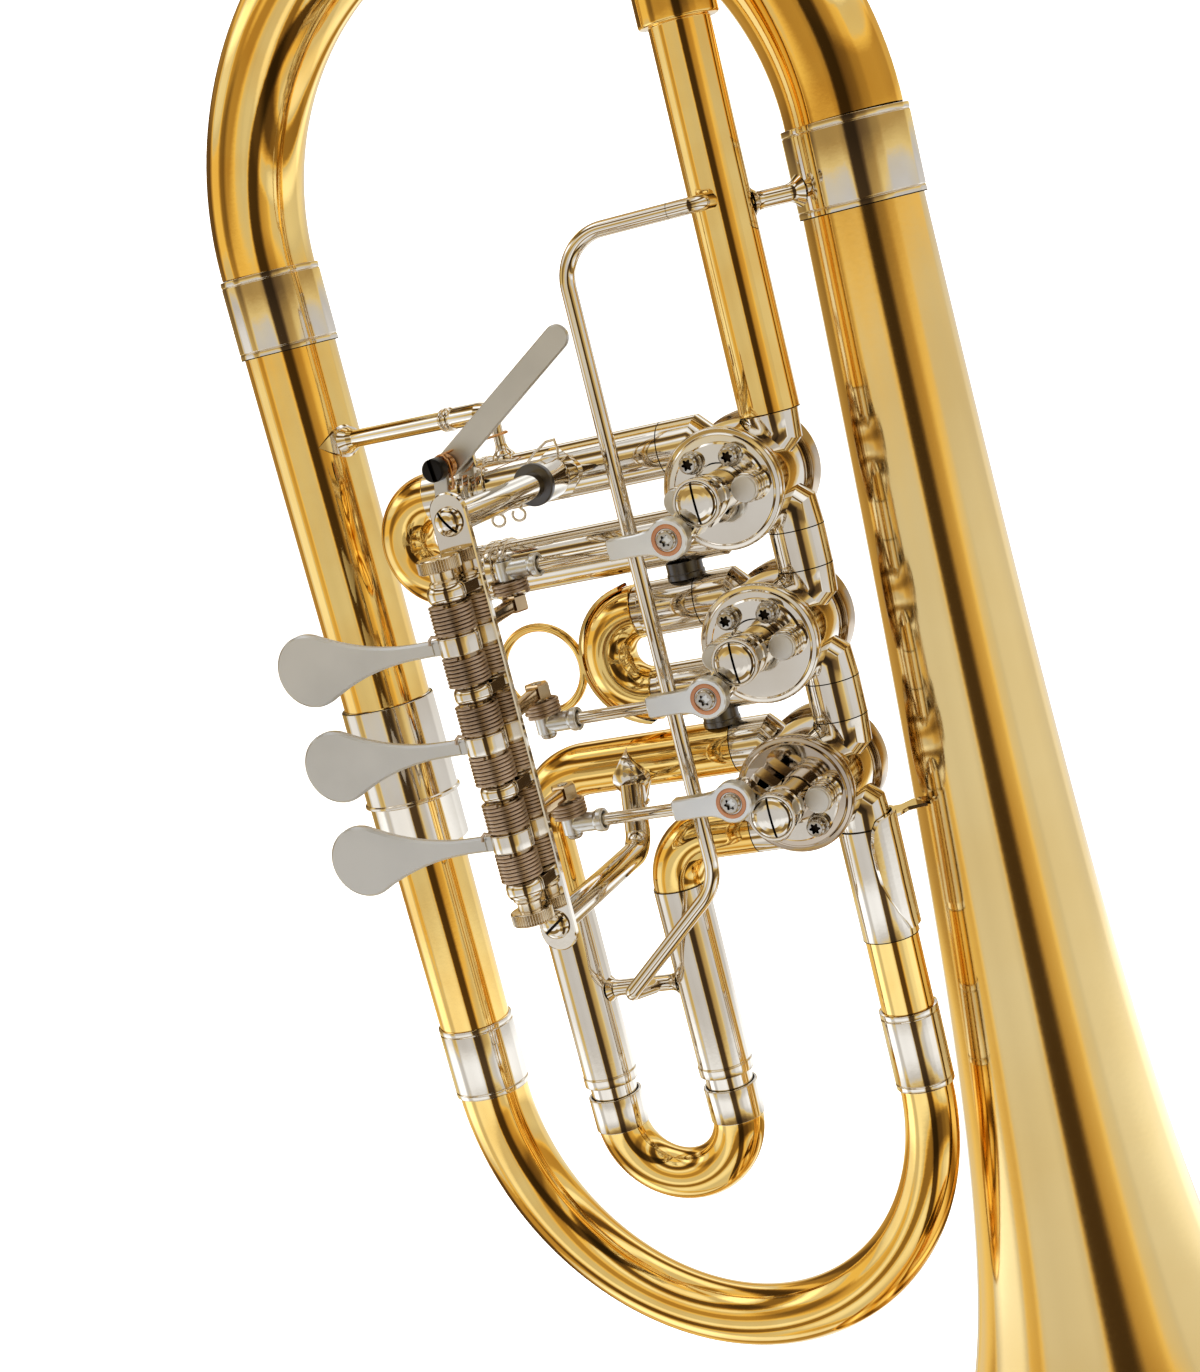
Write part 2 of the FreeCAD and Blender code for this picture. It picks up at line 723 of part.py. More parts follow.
def stop_arm(i):
    """Hub on the spindle with its slotted screw, the stop finger and the crank that the link drives."""
    name = "stop_arm_%d" % (i + 1)
    side = CRANK_SIDE[i]
    # The crank stands crank_rest below (valves 1, 2) or above (valve 3) the level to the left
    angle = 180 - side * v.crank_rest
    spin = Rotation(Vector(0, 1, 0), -angle)
    half_throw = 45
    finger_spin = Rotation(Vector(0, 1, 0), -(180 - side * half_throw))
    slot_spin = Rotation(Vector(0, 1, 0), -60)
    hub = turned(name + "_hub", [
        ("spindle_radius", "hub_gap"), ("hub_foot", "hub_gap"), ("hub_foot", "hub_step"),
        ("hub_waist", "hub_step"), ("hub_waist", "hub_face - hub_flange"),
        ("hub_radius", "hub_face - hub_flange"),
        ("hub_radius", "hub_face"), ("hub_screw_radius", "hub_face"),
        ("hub_screw_radius / 2", "hub_face + 3 * hub_dome / 4"), ("0", "hub_face + hub_dome"),
        ("0", "hub_face - hub_screw_radius / 2"), ("spindle_radius", "hub_face - hub_screw_radius / 2")],
        (VALVE_X, FACE_Y, VALVE_Z[i]), "-y")
    centre = Vector(valve_x, face_y, valve_z[i])
    crank = turned_block(name + "_crank", ("crank_radius", "crank_thick", "crank_width"), centre, spin,
                         Vector(0, -v.crank_back - v.crank_thick, -v.crank_width / 2))
    finger = turned_block(name + "_finger", ("finger_reach", "finger_high - finger_low", "2 * finger_half"),
                          centre, finger_spin, Vector(0, -v.finger_high, -v.finger_half))
    boss_place = centre + spin.multVec(Vector(v.crank_radius, -v.crank_back, 0))
    boss = cylinder(name + "_boss", "boss_radius", "boss_face - crank_back", boss_place, "-y")
    bore = cylinder(name + "_bore", "spindle_radius", "hub_face - hub_screw_radius / 2",
                    (VALVE_X, FACE_Y, VALVE_Z[i]), "-y")
    slot = turned_block(name + "_slot", ("2 * hub_screw_radius", "slot_depth", "slot_width"), centre,
                        slot_spin,
                        Vector(-v.hub_screw_radius, -v.hub_face - v.slot_depth, -v.slot_width / 2))
    solid = fused(name + "_solid", [hub, crank, finger, boss])
    node(cut(name, solid, [bore, slot]), name)


def link(i):
    """Link from the lever's end to the crank: eye with bushing and pin, rod, and cross socket."""
    number = i + 1
    eye_x = "(%s - crank_radius * cos(crank_rest))" % VALVE_X
    eye_z = LINK_Z[i]
    end_x = "(%s - arm_inset)" % HINGE_X
    back = LINK_Y + " + eye_thick / 2"
    eye = cylinder("eye_%d" % number, "eye_radius", "eye_thick", (eye_x, back, eye_z), "-y")
    neck = block("eye_neck_%d" % number, ("neck_length", "eye_thick", "neck_width"),
                 (eye_x + " - neck_length", LINK_Y + " - eye_thick / 2", eye_z + " - neck_width / 2"))
    eye_bore = cylinder("eye_bore_%d" % number, "bush_radius", "eye_thick", (eye_x, back, eye_z), "-y")
    rod_seat = cylinder("eye_seat_%d" % number, "rod_radius", "rod_seat",
                        (eye_x + " - neck_length", LINK_Y, eye_z), "x")
    eye_solid = cut("link_eye_%d" % number, fused("eye_form_%d" % number, [eye, neck]), [eye_bore, rod_seat])
    sleeve = cylinder("socket_sleeve_%d" % number, "socket_radius", "socket_reach",
                      (end_x, LINK_Y, eye_z), "x")
    cup = cylinder("socket_cup_%d" % number, "cup_radius", "cup_width",
                   (end_x + " + socket_reach", LINK_Y, eye_z), "x")
    cross = cylinder("socket_cross_%d" % number, "cross_radius", "2 * cross_half",
                     (end_x, LINK_Y, eye_z + " - cross_half"))
    rod_bore = cylinder("socket_seat_%d" % number, "rod_radius", "rod_seat + cup_width",
                        (end_x + " + socket_reach - rod_seat", LINK_Y, eye_z), "x")
    cross_bore = cylinder("socket_bore_%d" % number, "cross_screw_radius + running_fit", "2 * cross_half",
                          (end_x, LINK_Y, eye_z + " - cross_half"))
    socket = cut("link_socket_%d" % number, fused("socket_form_%d" % number, [sleeve, cup, cross]),
                 [rod_bore, cross_bore])
    node(group("link_ends_%d" % number, [eye_solid, socket]), "link_ends_%d" % number)
    start = "%s + socket_reach - rod_seat" % end_x
    length = "%s - neck_length + rod_seat - (%s)" % (eye_x, start)
    rod = cylinder("rod_%d" % number, "rod_radius", length, (start, LINK_Y, eye_z), "x")
    node(rod, "link_rod_%d" % number)
    bush = pipe("bush_%d" % number, "bush_radius", "pin_radius + running_fit", "eye_thick + bush_proud",
                (eye_x, back, eye_z), "-y")
    node(bush, "eye_bush_%d" % number)
    seat = "link_plane + eye_thick / 2 + bush_proud"
    pin = turned("pin_%d" % number, [
        ("0", "boss_face + pin_gap"), ("pin_radius", "boss_face + pin_gap"), ("pin_radius", seat),
        ("pin_head", seat), ("pin_head", seat + " + pin_head_proud"), ("0", seat + " + pin_head_proud")],
        (eye_x, FACE_Y, eye_z), "-y")
    node(pin, "eye_screw_%d" % number)


def paddle(name, i):
    """Touch piece: a round bulb that runs in two hollow curves into a slim neck."""
    bulb = v.paddle_bulb
    neck = v.neck_half
    reach = v.paddle_reach - v.neck_start
    hollow = (reach ** 2 + neck ** 2 - bulb ** 2) / (2 * (bulb - neck))
    centre = Vector(-v.paddle_reach, 0, 0)
    away = Vector(reach, 0, neck + hollow).normalize()
    shoulder = centre + away * bulb
    shoulder_low = Vector(shoulder.x, 0, -shoulder.z)
    tip = centre - Vector(bulb, 0, 0)
    hollow_centre = Vector(-v.neck_start, 0, neck + hollow)
    bisector = (shoulder - hollow_centre).normalize() + Vector(0, 0, -1)
    waist = hollow_centre + bisector.normalize() * hollow
    waist_low = Vector(waist.x, 0, -waist.z)
    root = Vector(-v.root_length, 0, neck)
    root_low = Vector(root.x, 0, -neck)
    bend = Vector(-v.neck_start, 0, neck)
    bend_low = Vector(-v.neck_start, 0, -neck)
    outline = Part.Wire([
        Part.LineSegment(root, bend).toShape(),
        Part.Arc(bend, waist, shoulder).toShape(),
        Part.Arc(shoulder, tip, shoulder_low).toShape(),
        Part.Arc(shoulder_low, waist_low, bend_low).toShape(),
        Part.LineSegment(bend_low, root_low).toShape(),
        Part.LineSegment(root_low, root).toShape()])
    slab = Part.Face(outline).extrude(Vector(0, v.paddle_thick, 0))
    rim = [edge for edge in slab.Edges if edge.BoundBox.YMax < v.overrun / 1000 and
           edge.BoundBox.XMin < -v.root_length - v.overrun]
    piece = DOC.addObject("Part::Feature", name)
    piece.Shape = slab.makeChamfer(v.paddle_bevel, rim)
    piece.Placement = Placement(Vector(hinge_x, hinge_y - v.paddle_front, v.row_height + v.lever_middle
                                       + ROW_SHARES[i] * v.lever_pitch), Rotation())
    return piece


def lever(i):
    """Lever: touch piece, hub on the hinge rod, and the arm that goes back to the link."""
    number = i + 1
    name = "lever_%d" % number
    z = LEVER_Z[i]
    hub = cylinder(name + "_hub", "hub_tube", "2 * hub_half", (HINGE_X, HINGE_Y, z + " - hub_half"))
    root = block(name + "_root", ("root_length", "2 * root_half", "2 * hub_half"),
                 (HINGE_X + " - root_length", HINGE_Y + " - root_half", z + " - hub_half"))
    up = LINK_SIDE[i]
    lever_z = v.row_height + v.lever_middle + ROW_SHARES[i] * v.lever_pitch
    end_z = link_z[i] - up * v.cross_drop
    tilt = Rotation(Vector(1, 0, 0), math.degrees(math.atan2(end_z - lever_z, v.arm_length)))
    arm = turned_block(name + "_arm", ("arm_width", "arm_length", "arm_height"),
                       Vector(hinge_x - v.arm_inset, hinge_y, lever_z), tilt,
                       Vector(-v.arm_width / 2, 0, -v.arm_height / 2))
    nut_z = "(%s - %d * cross_drop)" % (LINK_Z[i], up)
    nut = DOC.addObject("Part::Prism", name + "_nut")
    nut.Polygon = 6
    bind(nut, "Circumradius", "nut_radius")
    bind(nut, "Height", "2 * nut_half")
    put(nut, (HINGE_X + " - arm_inset", LINK_Y, nut_z + " - nut_half"), AIM["z"])
    bore = cylinder(name + "_bore", "hinge_radius + running_fit", "2 * hub_half",
                    (HINGE_X, HINGE_Y, z + " - hub_half"))
    thread = cylinder(name + "_thread", "cross_screw_radius", "2 * nut_half",
                      (HINGE_X + " - arm_inset", LINK_Y, nut_z + " - nut_half"))
    form = fused(name + "_form", [hub, root, arm, nut, paddle(name + "_touch", i)])
    node(cut(name, form, [bore, thread]), name)
    # The cross screw stands up from the nut on lever 1 and hangs down on levers 2 and 3
    aim = "z" if up > 0 else "-z"
    screw = turned("cross_%d" % number, [
        ("0", "-nut_half"), ("cross_screw_radius", "-nut_half"),
        ("cross_screw_radius", "cross_drop + cross_half + washer_gap"),
        ("cross_head_radius", "cross_drop + cross_half + washer_gap"),
        ("cross_head_radius", "cross_drop + cross_half + washer_gap + cross_head - head_crown"),
        ("cross_head_radius - head_crown", "cross_drop + cross_half + washer_gap + cross_head"),
        ("0", "cross_drop + cross_half + washer_gap + cross_head")],
        (HINGE_X + " - arm_inset", LINK_Y, nut_z), aim)
    room = v.cross_drop - v.cross_half - v.nut_half - 2 * v.washer_gap - 2 * v.cross_coil_wire
    low = Vector(0, 0, v.nut_half + v.washer_gap + v.cross_coil_wire)
    spring = coil("cross_coil_%d" % number,
                  Vector(hinge_x - v.arm_inset, face_y - v.link_plane, end_z) + AIM[aim].multVec(low),
                  AIM[aim], v.cross_coil_radius, v.cross_coil_wire, room / v.cross_coil_turns,
                  v.cross_coil_turns)
    node(group("cross_pair_%d" % number, [screw, spring]), "cross_screw_%d" % number)


def lever_carriage():
    """Hinge rod with its knurled knobs, springs, and the plate whose lugs hold them."""
    middle = "(row_height + lever_middle)"
    node(turned("hinge_rod", [
        ("0", "-knob_place - knob_height"), ("knob_radius - knob_bevel", "-knob_place - knob_height"),
        ("knob_radius", "-knob_place - knob_height + knob_bevel"), ("knob_radius", "-knob_place"),
        ("knob_neck_radius", "-knob_place"),
        ("knob_neck_radius", "-1.5 * lever_pitch - collar_half"),
        ("hinge_radius", "-1.5 * lever_pitch - collar_half"),
        ("hinge_radius", "1.5 * lever_pitch + collar_half"),
        ("knob_neck_radius", "1.5 * lever_pitch + collar_half"),
        ("knob_neck_radius", "knob_place"), ("knob_radius", "knob_place"),
        ("knob_radius", "knob_place + knob_height - knob_bevel"),
        ("knob_radius - knob_bevel", "knob_place + knob_height"), ("0", "knob_place + knob_height")],
        (HINGE_X, HINGE_Y, middle)), "hinge_rod")
    springs = []
    room = v.lever_pitch / 2 - v.collar_half - v.hub_half - 2 * v.spring_gap - 2 * v.spring_wire
    for i in range(3):
        hub_z = v.row_height + v.lever_middle + ROW_SHARES[i] * v.lever_pitch
        for name, low in (("upper", v.hub_half + v.spring_gap + v.spring_wire),
                          ("lower", v.collar_half - v.lever_pitch / 2 + v.spring_gap + v.spring_wire)):
            springs.append(coil("spring_%d_%s" % (i + 1, name), Vector(hinge_x, hinge_y, hub_z + low),
                                Rotation(), v.spring_radius, v.spring_wire, room / v.spring_turns,
                                v.spring_turns))
    node(group("return_springs", springs), "return_springs")
    lugs = []
    bores = []
    for share in (1.5, 0.5, -0.5, -1.5):
        z = "%s + %s * lever_pitch" % (middle, share)
        lugs.append(cylinder("lug_collar_%d" % (share + 2.5), "collar_radius", "2 * collar_half",
                             (HINGE_X, HINGE_Y, z + " - collar_half")))
        web = ("collar_radius", "plate_front + plate_thick / 2", "2 * web_half")
        lugs.append(block("lug_web_%d" % (share + 2.5), web, (HINGE_X, HINGE_Y, z + " - web_half")))
        bores.append(cylinder("lug_bore_%d" % (share + 2.5), "hinge_radius", "2 * collar_half",
                              (HINGE_X, HINGE_Y, z + " - collar_half")))
    plate = block("plate_bar", ("plate_width", "plate_thick", "plate_low + plate_high - plate_width"),
                  (HINGE_X + " - plate_inset", HINGE_Y + " + plate_front",
                   "row_height - plate_low + plate_width / 2"))
    ends = [cylinder("plate_end_%d" % n, "plate_width / 2", "plate_thick",
                     (HINGE_X + " - plate_inset + plate_width / 2", HINGE_Y + " + plate_front", z), "y")
            for n, z in enumerate(("row_height - plate_low + plate_width / 2",
                                   "row_height + plate_high - plate_width / 2"), 1)]
    notches = [block("plate_notch_%d" % (i + 1), ("notch_reach + plate_inset + overrun",
                                                  "plate_thick + 2 * overrun", "2 * notch_half"),
                     (HINGE_X + " - plate_inset - overrun", HINGE_Y + " + plate_front - overrun",
                      LEVER_Z[i] + " - notch_half")) for i in range(3)]
    node(cut("plate", fused("plate_form", [plate] + ends + lugs), notches + bores), "lever_plate")
    centre_x = HINGE_X + " - plate_inset + plate_width / 2"
    screws = []
    crown = [("plate_screw_radius * %s" % across, "plate_screw_dome * %s" % up)
             for across, up in DOME_SHARES]
    for name, z, slot_turn in (("upper", "row_height + screw_high", 70),
                               ("lower", "row_height - screw_low", -45)):
        head = turned("plate_screw_" + name,
                      [("0", "0"), ("plate_screw_radius", "0")] + crown + [("0", "plate_screw_dome")],
                      (centre_x, HINGE_Y + " + plate_front", z), "-y")
        place = Vector(hinge_x - v.plate_inset + v.plate_width / 2, hinge_y + v.plate_front,
                       v.row_height + (v.screw_high if name == "upper" else -v.screw_low))
        slot = turned_block("plate_slot_" + name, ("2 * plate_screw_radius", "slot_depth", "slot_width"),
                            place, Rotation(Vector(0, 1, 0), slot_turn),
                            Vector(-v.plate_screw_radius, -v.plate_screw_dome, -v.slot_width / 2))
        screws.append(cut("plate_screw_%s_slotted" % name, head, [slot]))
    node(group("plate_screws", screws), "plate_screws")


def leaf(name, half, rise, thick):
    """A pointed leaf outline in the XZ plane, as a prism along Y."""
    top = Vector(0, 0, rise)
    foot = Vector(0, 0, -rise)
    outline = Part.Wire([Part.Arc(top, Vector(half, 0, 0), foot).toShape(),
                         Part.Arc(foot, Vector(-half, 0, 0), top).toShape()])
    piece = DOC.addObject("Part::Feature", name)
    piece.Shape = Part.Face(outline).extrude(Vector(0, thick, 0))
    return piece


def plate_posts():
    """The posts that carry the plate: a stepped one on slide 1, a bent one on slide 3."""
    x = hinge_x - v.plate_inset + v.plate_width / 2
    x_cell = HINGE_X + " - plate_inset + plate_width / 2"
    back = hinge_y + v.plate_front + v.plate_thick
    high = v.row_height + v.screw_high
    tube_front = mid_y - v.way_outer
    span = "(disc_to_mid + hinge_front - plate_front - plate_thick)"
    shaft = turned("post_upper_shaft", [
        ("0", "0"), ("post_radius", "0"),
        ("post_radius", span + " - way_outer - post_step_place - post_step"),
        ("post_step_radius", span + " - way_outer - post_step_place - post_step"),
        ("post_step_radius", span + " - way_outer - post_step_place"),
        ("post_waist", span + " - way_outer - post_step_place"),
        ("post_waist", span + " - way_outer - saddle_wall - post_step / 2"),
        ("saddle_half", span + " - way_outer"), ("0", span + " - way_outer")],
        (x_cell, HINGE_Y + " + plate_front + plate_thick", "row_height + screw_high"), "y")
    saddle_skin = cylinder("saddle_skin", "way_outer + saddle_wall", "2 * saddle_half",
                           (x_cell + " - saddle_half", MID_Y, "row_height + valve_pitch + way_offset"),
                           "x")
    saddle_leaf = leaf("saddle_leaf", v.saddle_half, v.saddle_height / 2, v.way_outer + v.post_step)
    saddle_leaf.Placement = Placement(Vector(x, tube_front - v.post_step, high), Rotation())
    seat = common("saddle_seat", saddle_skin, saddle_leaf)
    seat_tube = cylinder("saddle_bore", "way_outer", "2 * saddle_half + 2 * overrun",
                         (x_cell + " - saddle_half - overrun", MID_Y,
                          "row_height + valve_pitch + way_offset"), "x")
    upper = cut("post_upper", fused("post_upper_form", [shaft, seat]), [seat_tube])
    stem_x = valve_x - v.stem_side
    stem_y = tube_front - v.post_radius + v.brace_lap
    low = v.row_height - v.screw_low
    foot_z = v.row_height - v.valve_pitch + v.way_offset
    stem = swept("post_lower_stem", [
        Vector(stem_x, stem_y, foot_z + v.leaf_half), Vector(stem_x, stem_y, low), Vector(x, back, low)],
        [v.stem_bend], "post_radius")
    foot_leaf = leaf("post_lower_leaf", v.leaf_half, v.leaf_rise, v.way_outer + v.post_radius)
    foot_leaf.Placement = Placement(Vector(stem_x, tube_front - v.saddle_wall, foot_z), Rotation())
    foot_skin = cylinder("post_lower_skin", "way_outer + saddle_wall", "2 * leaf_half",
                         ("-valve_side - stem_side - leaf_half", MID_Y,
                          "row_height - valve_pitch + way_offset"), "x")
    foot = common("post_lower_foot", foot_skin, foot_leaf)
    foot_bore = cylinder("post_lower_bore", "way_outer", "4 * leaf_half",
                         ("-valve_side - stem_side - 2 * leaf_half", MID_Y,
                          "row_height - valve_pitch + way_offset"), "x")
    lower = cut("post_lower", fused("post_lower_form", [stem, foot]), [foot_bore])
    node(group("plate_posts", [upper, lower]), "plate_posts")


def slides():
    """Slides 1 and 2: fixed sleeves, and the bows whose legs run in them."""
    sleeves = []
    for i, (sleeve, collars) in enumerate((("sleeve_1", True), ("sleeve_2", False))):
        for sign in (1, -1):
            z = "%s + %d * way_offset" % (VALVE_Z[i], sign)
            start = VALVE_X + " - way_offset - knuckle_reach"
            length = "%s - way_offset - knuckle_reach" % sleeve
            label = "sleeve_%d_%s" % (i + 1, "upper" if sign > 0 else "lower")
            skin = [cylinder(label + "_skin", "way_outer", length, (start, MID_Y, z), "-x")]
            if collars:
                for n in (0, 1):
                    at = "%s - %s + %d * (collar_length + collar_space)" % (VALVE_X, sleeve, n)
                    skin.append(cylinder("%s_collar_%d" % (label, n + 1), "way_outer + collar_proud",
                                         "collar_length", (at, MID_Y, z), "x"))
            bore = cylinder(label + "_bore", "way_outer - slide_wall", length, (start, MID_Y, z), "-x")
            sleeves.append(cut(label, fused(label + "_form", skin), [bore]))
    node(group("slide_sleeves", sleeves), "slide_sleeves")
    for i, (bow, leg) in enumerate((("bow_1", "leg_1"), ("bow_2", "leg_2"))):
        number = i + 1
        bow_x = valve_x - getattr(v, bow)
        end_x = bow_x - way_z
        tip = bow_x + getattr(v, leg)
        top = valve_z[i] + way_z
        low = valve_z[i] - way_z
        points = [Vector(tip, mid_y, top), Vector(end_x, mid_y, top), Vector(end_x, mid_y, low),
                  Vector(tip, mid_y, low)]
        inner = "way_outer - slide_wall - slide_fit"
        feet = [("%s - %s" % (VALVE_X, bow), MID_Y, "%s + %d * way_offset" % (VALVE_Z[i], sign))
                for sign in (1, -1)]
        legs = [cylinder("leg_%d_%d" % (number, n), inner, leg, foot, "x")
                for n, foot in enumerate(feet, 1)]
        crook_points = [Vector(bow_x, mid_y, top), Vector(end_x, mid_y, top), Vector(end_x, mid_y, low),
                        Vector(bow_x, mid_y, low)]
        crook = swept("crook_%d" % number, crook_points, [way_z, way_z], "way_outer")
        skin = [crook] + legs
        if i == 0:
            for n, foot in enumerate(feet, 1):
                skin.append(cylinder("ferrule_1_%d" % n, "way_outer + ferrule_proud", "ferrule_1", foot, "x"))
            skin.append(cylinder("drive_pin", "key_pin_radius", "disc_to_mid - way_bore - key_pin_face",
                                 ("-valve_side - key_pin_side", FACE_Y + " + key_pin_face",
                                  "row_height + valve_pitch + key_pin_rise"), "y"))
        bore = swept("crook_%d_bore" % number, points, [way_z, way_z], "way_bore - slide_wall")
        node(cut("slide_%d_bow" % number, fused("slide_%d_form" % number, skin), [bore]),
             "slide_%d_bow" % number)
    back_x = valve_x - v.bow_2 - way_z - v.way_outer
    ring_x = back_x - v.ring_radius - v.strip_proud / 2 - v.ring_wire
    pull = torus("pull_ring", "ring_radius", "ring_wire", Vector(ring_x, mid_y, valve_z[1]), "y")
    strip_disc = cylinder("strip_disc", "way_offset + way_outer + strip_proud", "2 * strip_half",
                          ("%s - bow_2" % VALVE_X, MID_Y + " - strip_half", VALVE_Z[1]), "y")
    strip_core = cylinder("strip_core", "way_offset + way_outer", "2 * strip_half",
                          ("%s - bow_2" % VALVE_X, MID_Y + " - strip_half", VALVE_Z[1]), "y")
    strip_side = block("strip_side", ("2 * (way_offset + way_outer)", "2 * strip_half + 2 * overrun",
                                      "4 * (way_offset + way_outer)"),
                       ("%s - bow_2 - way_offset / 2" % VALVE_X, MID_Y + " - strip_half - overrun",
                        VALVE_Z[1] + " - 2 * (way_offset + way_outer)"))
    strip = cut("strip", strip_disc, [strip_core, strip_side])
    node(fused("slide_2_ring", [pull, strip]), "slide_2_ring")


def third_slide():
    """Slide 3: brass tubes turned down from the valve, nickel sleeves, and the pull-out bow."""
    near = valve_x - v.leg_3_near
    far = valve_x - v.leg_3_far
    z = valve_z[2]
    upper_start = valve_x - way_z - v.knuckle_reach
    sleeve_top = v.row_height - v.sleeve_3_top
    sleeve_end = v.row_height - v.sleeve_3_end
    upper = tube("tube_3_upper", [
        Vector(upper_start, mid_y, z + way_z), Vector(far, mid_y, z + way_z), Vector(far, mid_y, sleeve_top)],
        [v.bend_3_upper], "way_outer", "slide_wall")
    lower = tube("tube_3_lower", [
        Vector(upper_start, mid_y, z - way_z), Vector(near, mid_y, z - way_z),
        Vector(near, mid_y, sleeve_top)], [v.bend_3_lower], "way_outer", "slide_wall")
    node(group("slide_3_tubes", [upper, lower]), "slide_3_tubes")
    sleeves = []
    legs = []
    for name, leg in (("near", "leg_3_near"), ("far", "leg_3_far")):
        x = "%s - %s" % (VALVE_X, leg)
        sleeve = pipe("sleeve_3_" + name, "way_outer + ferrule_proud", "way_outer - slide_wall",
                      "sleeve_3_end - sleeve_3_top", (x, MID_Y, "row_height - sleeve_3_end"))
        sleeves.append(sleeve)
        legs.append(cylinder("leg_3_" + name, "way_outer - slide_wall - slide_fit", "leg_3",
                             (x, MID_Y, "row_height - bow_3_low")))
    node(group("slide_3_sleeves", sleeves), "slide_3_sleeves")
    bow_z = v.row_height - v.bow_3_low
    half = (near - far) / 2
    top = bow_z + v.leg_3
    loop = [Vector(near, mid_y, bow_z), Vector(near, mid_y, bow_z - half), Vector(far, mid_y, bow_z - half),
            Vector(far, mid_y, bow_z)]
    bore = [Vector(near, mid_y, top), loop[1], loop[2], Vector(far, mid_y, top)]
    crook = swept("crook_3", loop, [half, half], "way_outer")
    hollow = swept("crook_3_bore", bore, [half, half], "way_bore - slide_wall")
    node(cut("slide_3_bow", fused("slide_3_form", [crook] + legs), [hollow]), "slide_3_bow")


def flare_radius(height):
    """Outer radius of the bell: a horn that widens as a power of the way from its rim."""
    share = v.flare_start / (height - v.bead_radius + v.flare_start)
    return v.rim_radius * share ** v.narrowing_share


def flare_curve():
    """The bell's outer line, through points that crowd toward the rim where it turns most."""
    count = 13
    places = [v.bead_radius + (branch_top - v.bead_radius) * (n / count) ** v.flare_crowding_share
              for n in range(count + 1)]
    outer = [Vector(flare_radius(height), 0, height) for height in places]
    line = Part.BSplineCurve()
    line.interpolate(outer)
    return line, outer, places


def bell_core(name):
    """The bell branch as a solid core, to cut what is fitted against it."""
    line, outer, places = flare_curve()
    top = Vector(0, 0, places[-1])
    foot = Vector(0, 0, places[0])
    wire = Part.Wire([line.toShape(), Part.LineSegment(outer[-1], top).toShape(),
                      Part.LineSegment(top, foot).toShape(), Part.LineSegment(foot, outer[0]).toShape()])
    core = DOC.addObject("Part::Feature", name)
    core.Shape = Part.Face(wire).revolve(Vector(), Vector(0, 0, 1), 360)
    return core


def bell():
    """Bell and bell branch: one thin shell with a rolled bead at its rim."""
    line, outer, places = flare_curve()
    inner = []
    for n, height in enumerate(places):
        slope = line.tangent(line.parameter(outer[n]))[0]
        across = Vector(slope.z, 0, -slope.x).normalize()
        if across.x > 0:
            across = across * -1
        if n in (0, len(places) - 1):
            across = Vector(-1, 0, 0)
            inner.append(Vector(outer[n].x - v.bell_wall, 0, height))
        else:
            inner.append(outer[n] + across * v.bell_wall)
    inside = Part.BSplineCurve()
    inside.interpolate(inner)
    wire = Part.Wire([line.toShape(), Part.LineSegment(outer[-1], inner[-1]).toShape(), inside.toShape(),
                      Part.LineSegment(inner[0], outer[0]).toShape()])
    shell = Part.Face(wire).revolve(Vector(), Vector(0, 0, 1), 360)
    bead = Part.makeTorus(v.rim_radius - v.bell_wall / 2, v.bead_radius,
                          Vector(0, 0, v.bead_radius - v.bead_land))
    floor = Part.makeCylinder(2 * v.rim_radius, 2 * v.bead_radius, Vector(0, 0, -2 * v.bead_radius))
    piece = DOC.addObject("Part::Feature", "bell")
    piece.Shape = shell.fuse(bead).cut(floor).removeSplitter()
    node(piece, "bell")


